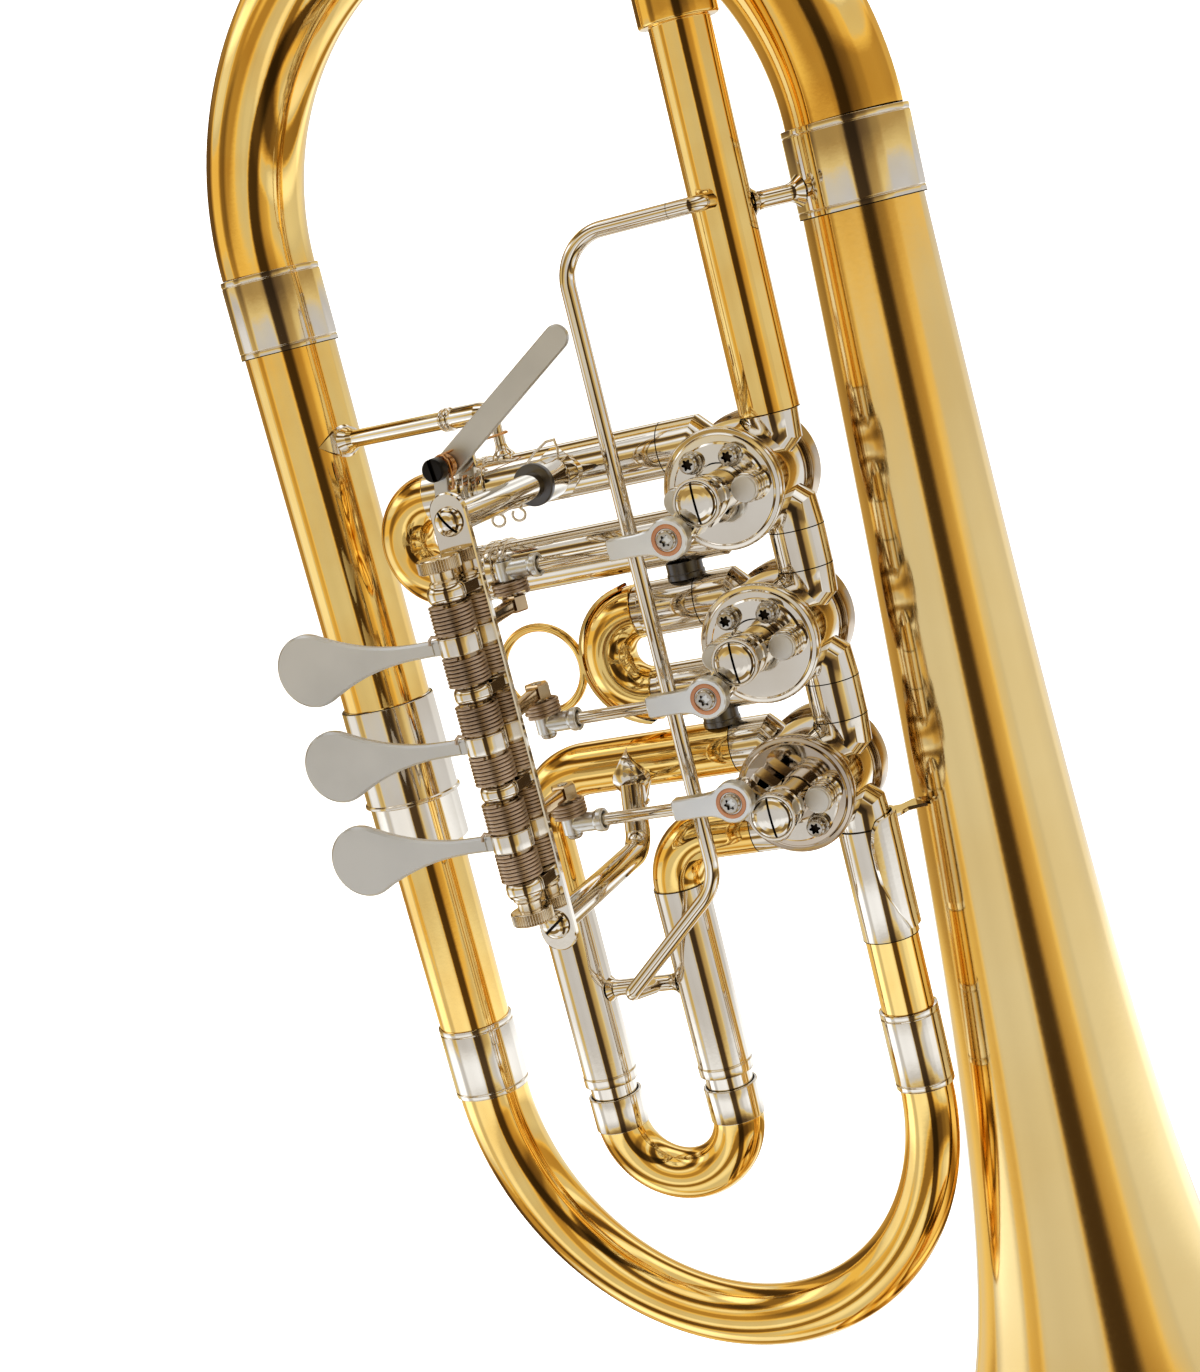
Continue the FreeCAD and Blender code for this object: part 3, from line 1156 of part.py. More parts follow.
def bows():
    """Top bow, tail branch, front bow and outlet, with the sleeves that join them."""
    top = branch_top
    tail_x = -v.tail_side
    span = v.tail_side / 2
    branch_radius = flare_radius(top)
    start = "%r" % branch_radius
    ferrule_foot = "%r" % flare_radius(top - 2 * v.bow_ferrule_half)
    bow = tube("top_bow", [Vector(0, 0, top), Vector(0, 0, top + span), Vector(tail_x, 0, top + span),
                           Vector(tail_x, 0, top)], [span, span], start, "tube_wall", "bow_end_radius")
    node(bow, "top_bow")
    upper = tube("tail_upper", [Vector(tail_x, 0, top), Vector(tail_x, 0, tail_rim)], [], "bow_end_radius",
                 "tube_wall", "tail_mid_radius")
    lower = tube("tail_lower", [Vector(tail_x, 0, tail_rim), Vector(tail_x, 0, front_top)], [],
                 "tail_low_radius", "tube_wall", "front_bow_radius")
    node(group("tail_branch", [upper, lower]), "tail_branch")
    sleeve = turned("tail_sleeve", [
        ("tail_mid_radius + tail_sleeve_wall", "-tail_sleeve_top"),
        ("tail_mid_radius + 2 * tail_sleeve_wall", "-tail_sleeve_top"),
        ("tail_mid_radius + 2 * tail_sleeve_wall", "rim_wire - tail_sleeve_rim"),
        ("tail_mid_radius + 2 * tail_sleeve_wall + rim_wire", "rim_wire - tail_sleeve_rim"),
        ("tail_mid_radius + 2 * tail_sleeve_wall + rim_wire", "-tail_sleeve_rim - rim_wire"),
        ("tail_mid_radius + tail_sleeve_wall", "-tail_sleeve_rim - rim_wire"),
        ("tail_mid_radius + tail_sleeve_wall", "-tail_sleeve_end"),
        ("tail_low_radius", "-tail_sleeve_end"),
        ("tail_low_radius", "-tail_sleeve_rim"),
        ("tail_mid_radius + tail_sleeve_wall", "-tail_sleeve_rim")],
        ("-tail_side", "0", "row_height"))
    node(sleeve, "tail_sleeve")
    outlet_x = valve_x + way_z
    flat = Vector(tail_x - outlet_x, -mid_y, 0)
    half = flat.Length / 2
    down = front_top - half
    front = tube("front_crook", [Vector(outlet_x, mid_y, front_top), Vector(outlet_x, mid_y, down),
                                 Vector(tail_x, 0, down), Vector(tail_x, 0, front_top)], [half, half],
                 "way_outer", "slide_wall", "front_bow_radius")
    way_end = "(row_height - valve_pitch - way_offset - knuckle_drop)"
    outlet = pipe("outlet_tube", "way_outer", "way_outer - slide_wall", "%s - %s" % (way_end, FRONT_TOP),
                  (VALVE_X + " + way_offset", MID_Y, FRONT_TOP))
    node(group("front_bow_pair", [front, outlet]), "front_bow")
    run = "outlet_sleeve_share * (%s - %s - 2 * bow_ferrule_half)" % (way_end, FRONT_TOP)
    node(pipe("outlet_sleeve", "way_outer + outlet_wall", "way_outer", run,
              (VALVE_X + " + way_offset", MID_Y, "%s - %s" % (way_end, run))), "outlet_sleeve")
    ferrules = [pipe("ferrule_" + name, radius + " + bow_ferrule_wall + taper_room", radius + " + taper_room",
                     "2 * bow_ferrule_half", at)
                for name, radius, at in (
                    ("branch", ferrule_foot, ("0", "0", BRANCH_TOP + " - 2 * bow_ferrule_half")),
                    ("tail", "bow_end_radius", ("-tail_side", "0", BRANCH_TOP + " - 2 * bow_ferrule_half")),
                    ("front", "front_bow_radius", ("-tail_side", "0", FRONT_TOP)),
                    ("outlet", "way_outer", (VALVE_X + " + way_offset", MID_Y, FRONT_TOP)))]
    node(group("bow_ferrules", ferrules), "bow_ferrules")


def valve_links():
    """Short tubes that carry the way from one valve to the next."""
    tubes = [pipe("valve_link_%d" % (i + 1), "way_outer", "way_bore",
                  "valve_pitch - 2 * way_offset - 2 * knuckle_drop",
                  (VALVE_X + " + way_offset", MID_Y, VALVE_Z[i + 1] + " + way_offset + knuckle_drop"))
             for i in range(2)]
    node(group("valve_links", tubes), "valve_links")


def mouthpipe():
    """Mouthpipe: fixed outer pipe with its clamp ring, and the pull-out pipe with the receiver."""
    x = VALVE_X + " + way_offset"
    foot = "row_height + valve_pitch + way_offset + knuckle_drop"
    length = "%s - (%s)" % (PIPE_TOP, foot)
    skin = cylinder("pipe_skin", "pipe_outer", length, (x, MID_Y, foot))
    ring = cylinder("pipe_clamp", "clamp_radius", "clamp_height", (x, MID_Y, PIPE_TOP + " - clamp_height"))
    bore = cylinder("pipe_bore", "pipe_inner + slide_fit", "inner_depth + overrun",
                    (x, MID_Y, PIPE_TOP + " - inner_depth - overrun"))
    lead = cylinder("pipe_lead", "way_bore", length, (x, MID_Y, foot))
    node(cut("mouthpipe", fused("pipe_form", [skin, ring]), [bore, lead]), "mouthpipe")
    top = "receiver_reach + receiver_length"
    inner = turned("receiver_pipe", [
        ("lead_bore", "-inner_depth"), ("pipe_inner", "-inner_depth"), ("pipe_inner", "receiver_reach"),
        ("pipe_outer", "receiver_reach + receiver_rim_height"),
        ("receiver_radius", top + " - receiver_rim_height"),
        ("receiver_rim", top + " - receiver_rim_height"), ("receiver_rim", top),
        ("shank_radius", top), ("shank_radius", top + " - shank_length"),
        ("lead_bore", top + " - shank_length")], (x, MID_Y, PIPE_TOP))
    node(inner, "receiver_pipe")


def braces():
    """Fixed braces: slide spacers, tail brace, gusset to the bell, body brace, slide 3 cross brace."""
    pieces = []
    for i in range(2):
        low = "%s + way_offset + way_outer" % VALVE_Z[i + 1]
        height = "valve_pitch - 2 * way_offset - 2 * way_outer"
        pieces.append(cylinder("spacer_%d" % (i + 1), "spacer_radius", height,
                               (VALVE_X + " - spacer_side - spacer_radius / 2", MID_Y, low)))
    tail_x = -v.tail_side
    high = v.row_height + v.brace_height
    turn_x = valve_x - v.brace_turn_side
    sleeve_z = valve_z[0] + way_z
    reach = Vector(turn_x - tail_x, mid_y, 0).normalize()
    rise = (high - tail_rim) / (branch_top - tail_rim)
    tail_radius = v.tail_mid_radius + (v.bow_end_radius - v.tail_mid_radius) * rise
    root = Vector(tail_x, 0, high) + reach * (tail_radius - v.brace_lap)
    rod = swept("brace_rod", [root, Vector(turn_x, mid_y, high), Vector(turn_x, mid_y, sleeve_z)],
                [v.brace_bend], "brace_radius")
    rings = []
    for n in (-0.5, 0.5):
        ring_x = valve_x - v.brace_ring_side + n * v.brace_ring_space
        share = (ring_x - tail_x) / (turn_x - tail_x)
        place = Vector(ring_x, mid_y * share, high)
        rings.append(cylinder("brace_ring_%d" % (n + 1.5), "brace_ring_radius", "2 * brace_ring_half",
                              place - reach * v.brace_ring_half, reach))
    flange = cone("brace_flange", "flange_radius", "brace_radius", "flange_radius",
                  root - reach * v.flange_thick, reach)
    foot = cone("brace_foot", "brace_foot_radius", "brace_radius", "flange_radius",
                ("%s - brace_turn_side" % VALVE_X, MID_Y,
                 "row_height + valve_pitch + way_offset + way_outer - flange_thick"))
    tail_core = swept("brace_tail_core", [Vector(tail_x, 0, branch_top), Vector(tail_x, 0, tail_rim)], [],
                      "bow_end_radius", "tail_mid_radius")
    sleeve_core = cylinder("brace_sleeve_core", "way_outer", "4 * flange_radius",
                           ("%s - brace_turn_side - 2 * flange_radius" % VALVE_X, MID_Y,
                            "row_height + valve_pitch + way_offset"), "x")
    pieces.append(cut("tail_brace", fused("tail_brace_form", [rod, flange, foot] + rings),
                      [tail_core, sleeve_core]))
    outlet = Vector(valve_x + way_z, mid_y, 0)
    toward = Vector(-outlet.x, -outlet.y, 0)
    way = toward.normalize()
    spin = Rotation(Vector(1, 0, 0), way)
    gusset = turned_block("gusset_web", (
        "sqrt((valve_side - way_offset)^2 + valve_front^2)", "2 * gusset_half", "gusset_low - gusset_top"),
        Vector(outlet.x, outlet.y, v.row_height - v.gusset_low), spin, Vector(0, -v.gusset_half, 0))
    outlet_core = cylinder("gusset_outlet_core", "way_outer + outlet_wall", "row_height",
                           (VALVE_X + " + way_offset", MID_Y, "0"))
    pieces.append(cut("gusset", gusset, [outlet_core, bell_core("gusset_bell_core")]))
    body_z = branch_top - v.body_brace_drop
    bar = swept("body_bar", [Vector(outlet.x, outlet.y, body_z), Vector(0, 0, body_z)], [], "brace_radius")
    pipe_core = cylinder("body_pipe_core", "pipe_outer", PIPE_TOP, (VALVE_X + " + way_offset", MID_Y, "0"))
    ferrule_foot = flare_radius(branch_top - 2 * v.bow_ferrule_half)
    ferrule_core = cylinder("body_bell_core", "%r + bow_ferrule_wall + taper_room" % ferrule_foot,
                            BRANCH_TOP, ("0", "0", "0"))
    pieces.append(cut("body_brace", bar, [pipe_core, ferrule_core]))
    near = valve_x - v.leg_3_near
    far = valve_x - v.leg_3_far
    cross_z = v.row_height - v.cross_brace_low
    cross = swept("cross_bar", [Vector(near, mid_y, cross_z), Vector(far, mid_y, cross_z)], [],
                  "brace_radius")
    cores = [cylinder("cross_core_%d" % n, "way_outer + ferrule_proud", "sleeve_3_end - sleeve_3_top",
                      ("%s - %s" % (VALVE_X, leg), MID_Y, "row_height - sleeve_3_end"))
             for n, leg in enumerate(("leg_3_near", "leg_3_far"), 1)]
    pieces.append(cut("cross_brace", cross, cores))
    pieces.append(trigger_ear())
    node(group("braces", pieces), "braces")
    guard_x = valve_x - v.guard_side
    top = v.row_height + v.guard_top
    rod = swept("guard", [
        Vector(valve_x + way_z - v.pipe_outer + v.brace_lap, face_y, top),
        Vector(guard_x, face_y, top),
        Vector(guard_x, face_y, v.row_height - v.guard_low),
        Vector(valve_x - v.guard_foot_side, face_y, v.row_height - v.guard_foot_low),
        Vector(valve_x - v.guard_foot_side, mid_y - v.brace_radius, cross_z)],
        [2 * v.guard_bend, v.guard_bend, v.guard_radius], "guard_radius")
    stub = cylinder("guard_stub", "guard_radius", "disc_to_mid",
                    (VALVE_X + " + way_offset", FACE_Y, "row_height + guard_top"), "y")
    cap = DOC.addObject("Part::Sphere", "guard_cap")
    bind(cap, "Radius", "guard_radius")
    cap.Placement = Placement(Vector(valve_x + way_z, face_y, top), Rotation())
    link_bar = cylinder("guard_link", "guard_radius", "pipe_outer",
                        (VALVE_X + " + way_offset - pipe_outer", FACE_Y, "row_height + guard_top"), "x")
    core = cylinder("guard_pipe_core", "pipe_outer", PIPE_TOP, (VALVE_X + " + way_offset", MID_Y, "0"))
    cross_core = cylinder("guard_cross_core", "brace_radius", "leg_3_far - leg_3_near",
                          (VALVE_X + " - leg_3_far", MID_Y, "row_height - cross_brace_low"), "x")
    node(cut("guard_rod", fused("guard_form", [rod, link_bar, cap, stub]), [core, cross_core]), "guard_rod")


def slide_trigger():
    """Trigger of slide 1: a strip and a forked arm on one barrel, its ear, black screw and spring."""
    x = "(-valve_side - key_side)"
    z = "(row_height + valve_pitch + key_rise)"
    pivot = Vector(valve_x - v.key_side, face_y, v.row_height + v.valve_pitch + v.key_rise)
    barrel = cylinder("trigger_barrel", "key_barrel", "key_barrel_end - key_barrel_start",
                      (x, FACE_Y + " + key_barrel_start", z), "y")
    slope = Rotation(Vector(0, 1, 0), -v.key_strip_slope)
    strip = turned_block("trigger_strip", ("key_strip_length", "key_strip_thick", "2 * key_strip_half"),
                         pivot, slope, Vector(0, v.key_strip_start, -v.key_strip_half))
    tip = pivot + slope.multVec(Vector(v.key_strip_length, v.key_strip_start, 0))
    round_tip = cylinder("trigger_tip", "key_strip_half", "key_strip_thick", tip, "y")
    root = pivot + Vector(0, v.key_strip_start, 0)
    round_root = cylinder("trigger_root", "key_strip_half", "key_strip_thick", root, "y")
    pin_drop = v.key_rise - v.key_pin_rise
    lean = math.degrees(math.atan2(v.key_pin_side - v.key_side, pin_drop))
    down = Rotation(Vector(0, 1, 0), 90 + lean)
    arm = turned_block("trigger_arm", ("key_fork_start", "key_arm_thick", "2 * key_arm_half"), pivot, down,
                       Vector(0, v.key_barrel_start, -v.key_arm_half))
    fork = turned_block("trigger_fork", (
        "key_fork_end - key_fork_start", "key_arm_thick", "2 * key_fork_half"), pivot, down,
        Vector(v.key_fork_start, v.key_barrel_start, -v.key_fork_half))
    slot = turned_block("trigger_slot", (
        "key_fork_end - key_slot_start + overrun", "key_arm_thick + 2 * overrun", "2 * key_slot_half"),
        pivot, down, Vector(v.key_slot_start, v.key_barrel_start - v.overrun, -v.key_slot_half))
    bore = cylinder("trigger_bore", "key_shank + running_fit", "key_barrel_end - key_barrel_start",
                    (x, FACE_Y + " + key_barrel_start", z), "y")
    form = fused("trigger_form", [barrel, strip, round_tip, round_root, arm, fork])
    node(cut("trigger", form, [bore, slot]), "trigger_lever")
    head = cylinder("trigger_head", "key_screw_radius", "key_screw_head",
                    (x, FACE_Y + " - key_screw_face", z), "y")
    shank = cylinder("trigger_shank", "key_shank", "key_screw_face + key_ear_end",
                     (x, FACE_Y + " - key_screw_face", z), "y")
    cleft = turned_block("trigger_cleft", ("2 * key_screw_radius", "slot_depth", "key_screw_slot"), pivot,
                         Rotation(Vector(0, 1, 0), 75),
                         Vector(-v.key_screw_radius, -v.key_screw_face, -v.key_screw_slot / 2))
    node(cut("trigger_screw_form", fused("trigger_screw_solid", [head, shank]), [cleft]), "trigger_screw")
    spring = coil("trigger_coil", pivot + Vector(0, v.key_coil_start, 0), AIM["y"], v.key_coil_radius,
                  v.key_coil_wire, v.key_coil_pitch, v.key_coil_turns, 2 * v.key_coil_radius,
                  v.key_leg_reach)
    node(group("trigger_spring_wire", [spring]), "trigger_spring")


def trigger_ear():
    """The ear on slide 1's sleeve that the trigger's screw stands in."""
    x = "(-valve_side - key_side)"
    z = "(row_height + valve_pitch + key_rise)"
    start = FACE_Y + " + key_ear_start"
    thick = "key_ear_end - key_ear_start"
    eye = cylinder("ear_eye", "key_ear_radius", thick, (x, start, z), "y")
    web = block("ear_web", ("key_ear_length", thick, "key_ear_radius + key_ear_drop"),
                (x, start, z + " - key_ear_drop"))
    sleeve = cylinder("ear_sleeve_core", "way_outer + collar_proud", "2 * key_ear_length",
                      (x + " - key_ear_radius", MID_Y, "row_height + valve_pitch + way_offset"), "x")
    hole = cylinder("ear_hole", "key_shank", thick, (x, start, z), "y")
    return cut("trigger_ear", fused("ear_form", [eye, web]), [sleeve, hole])


for valve in range(3):
    casing(valve)
    rotor(valve)
    stop_arm(valve)
    link(valve)
    lever(valve)
valve_trim()
lever_carriage()
plate_posts()
slides()
third_slide()
bell()
bows()
valve_links()
mouthpipe()
braces()
slide_trigger()
DOC.recompute()

os.makedirs("parts", exist_ok=True)
for item in DOC.Objects:
    if "Invalid" in item.State or "Error" in item.State:
        raise RuntimeError("%s failed: %s" % (item.Name, item.State))
for piece in NODES:
    if piece.Shape.isNull() or not piece.Shape.isValid() or not piece.Shape.Solids:
        raise RuntimeError("%s has no valid solid" % piece.Label)
for piece in NODES:
    piece.Shape.exportStep("parts/%s.step" % piece.Label)
    print(piece.Label, len(piece.Shape.Solids), round(piece.Shape.Volume, 1))
print(len(NODES), "nodes")
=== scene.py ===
import json
import math

import bmesh
import bpy
from mathutils import Matrix, Quaternion, Vector


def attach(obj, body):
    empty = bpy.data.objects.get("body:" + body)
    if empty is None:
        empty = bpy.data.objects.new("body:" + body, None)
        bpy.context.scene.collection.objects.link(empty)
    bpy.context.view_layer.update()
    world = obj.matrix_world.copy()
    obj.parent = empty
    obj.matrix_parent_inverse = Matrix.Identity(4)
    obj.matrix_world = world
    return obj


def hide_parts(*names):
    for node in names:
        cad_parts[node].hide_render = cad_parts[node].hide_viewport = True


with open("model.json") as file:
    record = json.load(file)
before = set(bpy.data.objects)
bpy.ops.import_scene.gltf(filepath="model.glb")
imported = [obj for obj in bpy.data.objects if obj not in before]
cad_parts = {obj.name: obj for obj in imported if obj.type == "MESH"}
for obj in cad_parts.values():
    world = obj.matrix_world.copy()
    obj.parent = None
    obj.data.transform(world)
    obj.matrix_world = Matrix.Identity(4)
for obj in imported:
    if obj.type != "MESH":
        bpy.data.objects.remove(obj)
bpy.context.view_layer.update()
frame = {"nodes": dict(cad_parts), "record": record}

# A rotary-valve flugelhorn seen close at its valve section. Sizes are in millimetres and turned to
# metres by MM. The frame's origin is the centre of the bell's rim, +Z up the bell, -Y to the levers.

MM = 0.001

# Driving sizes, as in the model

VALVE_X = -32.0
MID_Y = -19.6
FACE_Y = -33.0
VALVE_Z = (264.5, 232.0, 199.5)
WAY = 9.1
KNUCKLE = 5.8
DROP = 3.0
TUBE = 5.82
LEG = 5.34
HINGE_X = -72.4
HINGE_Y = -81.0
LEVER_Z = (251.0, 231.2, 211.4)
PITCH = 19.8
MIDDLE_Z = 231.2
LINK_Z = (259.147, 226.647, 204.853)
LINK_Y = -51.0
LINK_END_X = -74.25
EYE_X = -37.945
CROSS_DROP = 6.9
PLATE_X = -70.3
PLATE_Y = -76.6
SCREW_Z = (273.6, 191.8)
PIPE_X = -22.9
TAIL_X = -139.7
BRANCH_TOP = 330.0
FRONT_Z = 128.0
BOW_FERRULE_LOW = 312.0
VALVE_TUBES = ((244.1, 252.4), (211.6, 219.9))
OUTLET_SLEEVE = (162.6, 187.4)
SLEEVE_TOP = 179.5
TRIGGER_X = -93.6
TRIGGER_Z = 280.6
TOWARD_BELL = (0.7597, 0.6502, 0)

# Each valve's own sides: where its crank, its stop plate and its link stand
CRANK_SIDE = (-1, -1, 1)
PLATE_SIDE = (1, 1, -1)
LINK_SIDE = (1, -1, -1)

TO_PLAYER = Matrix(((1, 0, 0), (0, 0, -1), (0, 1, 0)))
UP = Vector((0, 0, 1))


def at(x, y, z):
    """A place given in millimetres, in metres."""
    return Vector((x, y, z)) * MM


# Materials


def new_material(name):
    mat = bpy.data.materials.new(name)
    mat.use_nodes = True
    return mat, mat.node_tree, mat.node_tree.nodes["Principled BSDF"]


def add_node(tree, kind, **values):
    """A shader node; names that start with in_ are its sockets."""
    node = tree.nodes.new(kind)
    for key, value in values.items():
        if key.startswith("in_"):
            node.inputs[key[3:].replace("_", " ")].default_value = value
        else:
            setattr(node, key, value)
    return node


def metal(name, color, deep, roughness, patch=60.0, grain=900.0, bump=0.02, spread=0.05, coat=0.0):
    """Metal with soft colour patches, a fine grain in its gloss, and a faint relief."""
    mat, tree, shader = new_material(name)
    shader.inputs["Metallic"].default_value = 1.0
    shader.inputs["Coat Weight"].default_value = coat
    shader.inputs["Coat Roughness"].default_value = 0.03
    where = add_node(tree, "ShaderNodeTexCoord")
    cloud = add_node(tree, "ShaderNodeTexNoise", in_Scale=patch, in_Detail=3.0)
    tree.links.new(where.outputs["Object"], cloud.inputs["Vector"])
    share = add_node(tree, "ShaderNodeMapRange", in_From_Min=0.3, in_From_Max=0.62)
    tree.links.new(cloud.outputs["Fac"], share.inputs["Value"])
    mix = add_node(tree, "ShaderNodeMix", data_type="RGBA")
    mix.inputs[6].default_value = (*deep, 1.0)
    mix.inputs[7].default_value = (*color, 1.0)
    tree.links.new(share.outputs["Result"], mix.inputs[0])
    tree.links.new(mix.outputs[2], shader.inputs["Base Color"])
    fine = add_node(tree, "ShaderNodeTexNoise", in_Scale=grain, in_Detail=2.0)
    tree.links.new(where.outputs["Object"], fine.inputs["Vector"])
    gloss = add_node(tree, "ShaderNodeMapRange", in_To_Min=roughness - spread / 2,
                     in_To_Max=roughness + spread / 2)
    tree.links.new(fine.outputs["Fac"], gloss.inputs["Value"])
    tree.links.new(gloss.outputs["Result"], shader.inputs["Roughness"])
    relief = add_node(tree, "ShaderNodeBump", in_Strength=bump, in_Distance=0.0002)
    tree.links.new(fine.outputs["Fac"], relief.inputs["Height"])
    tree.links.new(relief.outputs["Normal"], shader.inputs["Normal"])
    return mat


LOOKS = {
    "brass": metal("lacquered_brass", (1.0, 0.73, 0.26), (0.94, 0.62, 0.18), 0.06, spread=0.04, coat=0.15),
    "nickel_silver": metal("nickel_silver", (0.86, 0.82, 0.75), (0.78, 0.72, 0.63), 0.06, spread=0.04),
    "spring_steel": metal("spring_wire", (0.62, 0.50, 0.40), (0.38, 0.29, 0.22), 0.32),
    "steel_screws": metal("turned_steel", (0.62, 0.60, 0.56), (0.46, 0.43, 0.40), 0.2),
    "link_aluminium": metal("satin_aluminium", (0.90, 0.94, 0.98), (0.78, 0.82, 0.87), 0.32, grain=1800.0,
                            bump=0.06),
    "bushing_bronze": metal("bushing_bronze", (0.72, 0.36, 0.20), (0.50, 0.22, 0.12), 0.25),
    "lever_steel": metal("satin_steel", (0.72, 0.75, 0.79), (0.64, 0.67, 0.71), 0.4, grain=2200.0, bump=0.05),
    "bumper_gray": metal("bumper_ends", (0.86, 0.88, 0.90), (0.76, 0.78, 0.80), 0.45),
    "black_screw": metal("blackened_screw", (0.035, 0.035, 0.038), (0.02, 0.02, 0.022), 0.35),
}

# Looks that single pieces have beside their slot's own; some of them paint shade or a dark reflection, as
# said at each

# Near-black: painted shade on the walls of slots and star recesses, and the dark line of the seams where
# tubes meet.
RECESS_SHADE_AND_SEAM = metal("painted_shade_and_seam", (0.030, 0.024, 0.018), (0.014, 0.011, 0.009), 0.5)
SATIN = metal("satin_nickel", (0.86, 0.77, 0.62), (0.66, 0.57, 0.44), 0.15, grain=1600.0, bump=0.05)
BRONZED = metal("bronzed_nickel", (0.72, 0.56, 0.35), (0.46, 0.33, 0.20), 0.08)
# A dark brown nickel, on the back caps; on the sleeves inside the lever springs it paints shade into the
# coil's gaps.
DARK_NICKEL = metal("dark_nickel", (0.50, 0.39, 0.27), (0.34, 0.25, 0.16), 0.12)
# A darker, browner nickel: a painted dark reflection, given to the third valve's top plate.
DARK_REFLECTION = metal("nickel_painted_dark_reflection", (0.60, 0.52, 0.43), (0.48, 0.40, 0.32), 0.06, spread=0.04)
# Dark gray: painted shade, on the front face of the post's step and on the spacers between the slide tubes.
SHADE_GRAY = metal("painted_shade_gray", (0.17, 0.17, 0.18), (0.10, 0.10, 0.11), 0.3)
SPUN_BRASS = metal("spun_brass", (1.0, 0.78, 0.37), (0.95, 0.70, 0.29), 0.11, patch=24.0, coat=0.15)
COPPER = metal("copper_wire", (0.84, 0.52, 0.28), (0.62, 0.33, 0.16), 0.14)

for entry in frame["record"]["subparts"]:
    carried = frame["nodes"][entry["node"]]
    carried.data.materials.clear()
    carried.data.materials.append(LOOKS[entry["material_slot"]])


# Meshes


def done(name, bm, slot, body="horn", stands_for=(), sharp=32.0, look=None):
    """Turns a mesh into a smooth-shaded piece that rides on a body and stands for CAD nodes."""
    bmesh.ops.recalc_face_normals(bm, faces=bm.faces)
    limit = math.radians(sharp)
    for face in bm.faces:
        face.smooth = True
    for edge in bm.edges:
        edge.smooth = edge.calc_face_angle(0.0) < limit
    carved = any(face.material_index for face in bm.faces)
    mesh = bpy.data.meshes.new(name)
    bm.to_mesh(mesh)
    bm.free()
    mesh.materials.append(look or LOOKS[slot])
    # Carved walls get the near-black look, painted shade in the recess.
    if carved:
        mesh.materials.append(RECESS_SHADE_AND_SEAM)
    piece = bpy.data.objects.new(name, mesh)
    bpy.context.collection.objects.link(piece)
    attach(piece, body)
    if stands_for:
        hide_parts(*stands_for)
    return piece


def carve(bm, outline, depth, place, turn):
    """Sinks a prism of an outline into a mesh, as for a screw's slot; its walls get near-black painted shade.
    """
    tool_mesh = bmesh.new()
    add_prism(tool_mesh, outline, depth, place, turn)
    for face in tool_mesh.faces:
        face.material_index = 1
    bmesh.ops.recalc_face_normals(tool_mesh, faces=tool_mesh.faces)
    bmesh.ops.recalc_face_normals(bm, faces=bm.faces)
    objects = []
    for source in (bm, tool_mesh):
        mesh = bpy.data.meshes.new("carving")
        mesh.materials.append(None)
        mesh.materials.append(RECESS_SHADE_AND_SEAM)
        source.to_mesh(mesh)
        source.clear()
        thing = bpy.data.objects.new("carving", mesh)
        bpy.context.collection.objects.link(thing)
        objects.append(thing)
    base, tool = objects
    boolean = base.modifiers.new("cut", "BOOLEAN")
    boolean.operation = "DIFFERENCE"
    boolean.solver = "EXACT"
    boolean.object = tool
    graph = bpy.context.evaluated_depsgraph_get()
    bm.from_mesh(base.evaluated_get(graph).to_mesh())
    tool_mesh.free()
    for thing in objects:
        mesh = thing.data
        bpy.data.objects.remove(thing)
        bpy.data.meshes.remove(mesh)


def turn_to(axis):
    """The turn that lays Z along an axis."""
    return UP.rotation_difference(Vector(axis)).to_matrix()


def rounded(profile, radius, steps=4, closed=False):
    """The profile with its corners eased by short curves, so that edges catch the light."""
    points = [Vector(point) for point in profile]
    count = len(points)
    result = []
    for i, here in enumerate(points):
        if not closed and i in (0, count - 1):
            result.append(here)
            continue
        before = points[i - 1] - here
        after = points[(i + 1) % count] - here
        reach = min(radius, before.length * 0.45, after.length * 0.45)
        start = here + before.normalized() * reach
        end = here + after.normalized() * reach
        for step in range(steps + 1):
            t = step / steps
            result.append(start * (1 - t) ** 2 + here * (2 * t * (1 - t)) + end * t ** 2)
    return result


def lathe(bm, profile, place, axis=(0, 0, 1), around=96, ease=0.15, ridges=0, ridge_depth=0.25,
          ridge_span=None):
    """A form turned from (radius, along) points in millimetres, with knurled ridges where asked."""
    turn = turn_to(axis)
    rings = []
    for radius, along in (rounded(profile, ease) if ease else profile):
        if radius < 1e-5:
            rings.append([bm.verts.new(turn @ at(0, 0, along) + place)])
            continue
        ring = []
        for n in range(around):
            angle = math.tau * n / around
            r = radius
            if ridges and ridge_span[0] < along < ridge_span[1]:
                r -= ridge_depth * (0.5 + 0.5 * math.cos(angle * ridges))
            ring.append(bm.verts.new(turn @ at(r * math.cos(angle), r * math.sin(angle), along) + place))
        rings.append(ring)
    for a, b in zip(rings, rings[1:]):
        for n in range(around):
            m = (n + 1) % around
            corners = [a[n % len(a)], a[m % len(a)], b[m % len(b)], b[n % len(b)]]
            corners = [v for k, v in enumerate(corners) if v not in corners[:k]]
            if len(corners) > 2:
                bm.faces.new(corners)


def route(points, bends, step=4.0):
    """Straight runs joined by tangent arcs, as places in millimetres."""
    places = [Vector(points[0])]
    for before, corner, after, bend in zip(points, points[1:], points[2:], bends):
        corner = Vector(corner)
        inward = (Vector(before) - corner).normalized()
        onward = (Vector(after) - corner).normalized()
        turn = math.pi - inward.angle(onward)
        if bend == 0:
            places.append(corner)
            continue
        centre = corner + (inward + onward).normalized() * bend / math.cos(turn / 2)
        spoke = corner + inward * bend * math.tan(turn / 2) - centre
        leave = corner + onward * bend * math.tan(turn / 2) - centre
        normal = spoke.cross(leave).normalized()
        count = max(3, int(math.degrees(turn) / step))
        for n in range(count + 1):
            places.append(centre + Quaternion(normal, turn * n / count) @ spoke)
    places.append(Vector(points[-1]))
    kept = [places[0]]
    for place in places[1:]:
        if (place - kept[-1]).length > 1e-4:
            kept.append(place)
    return kept


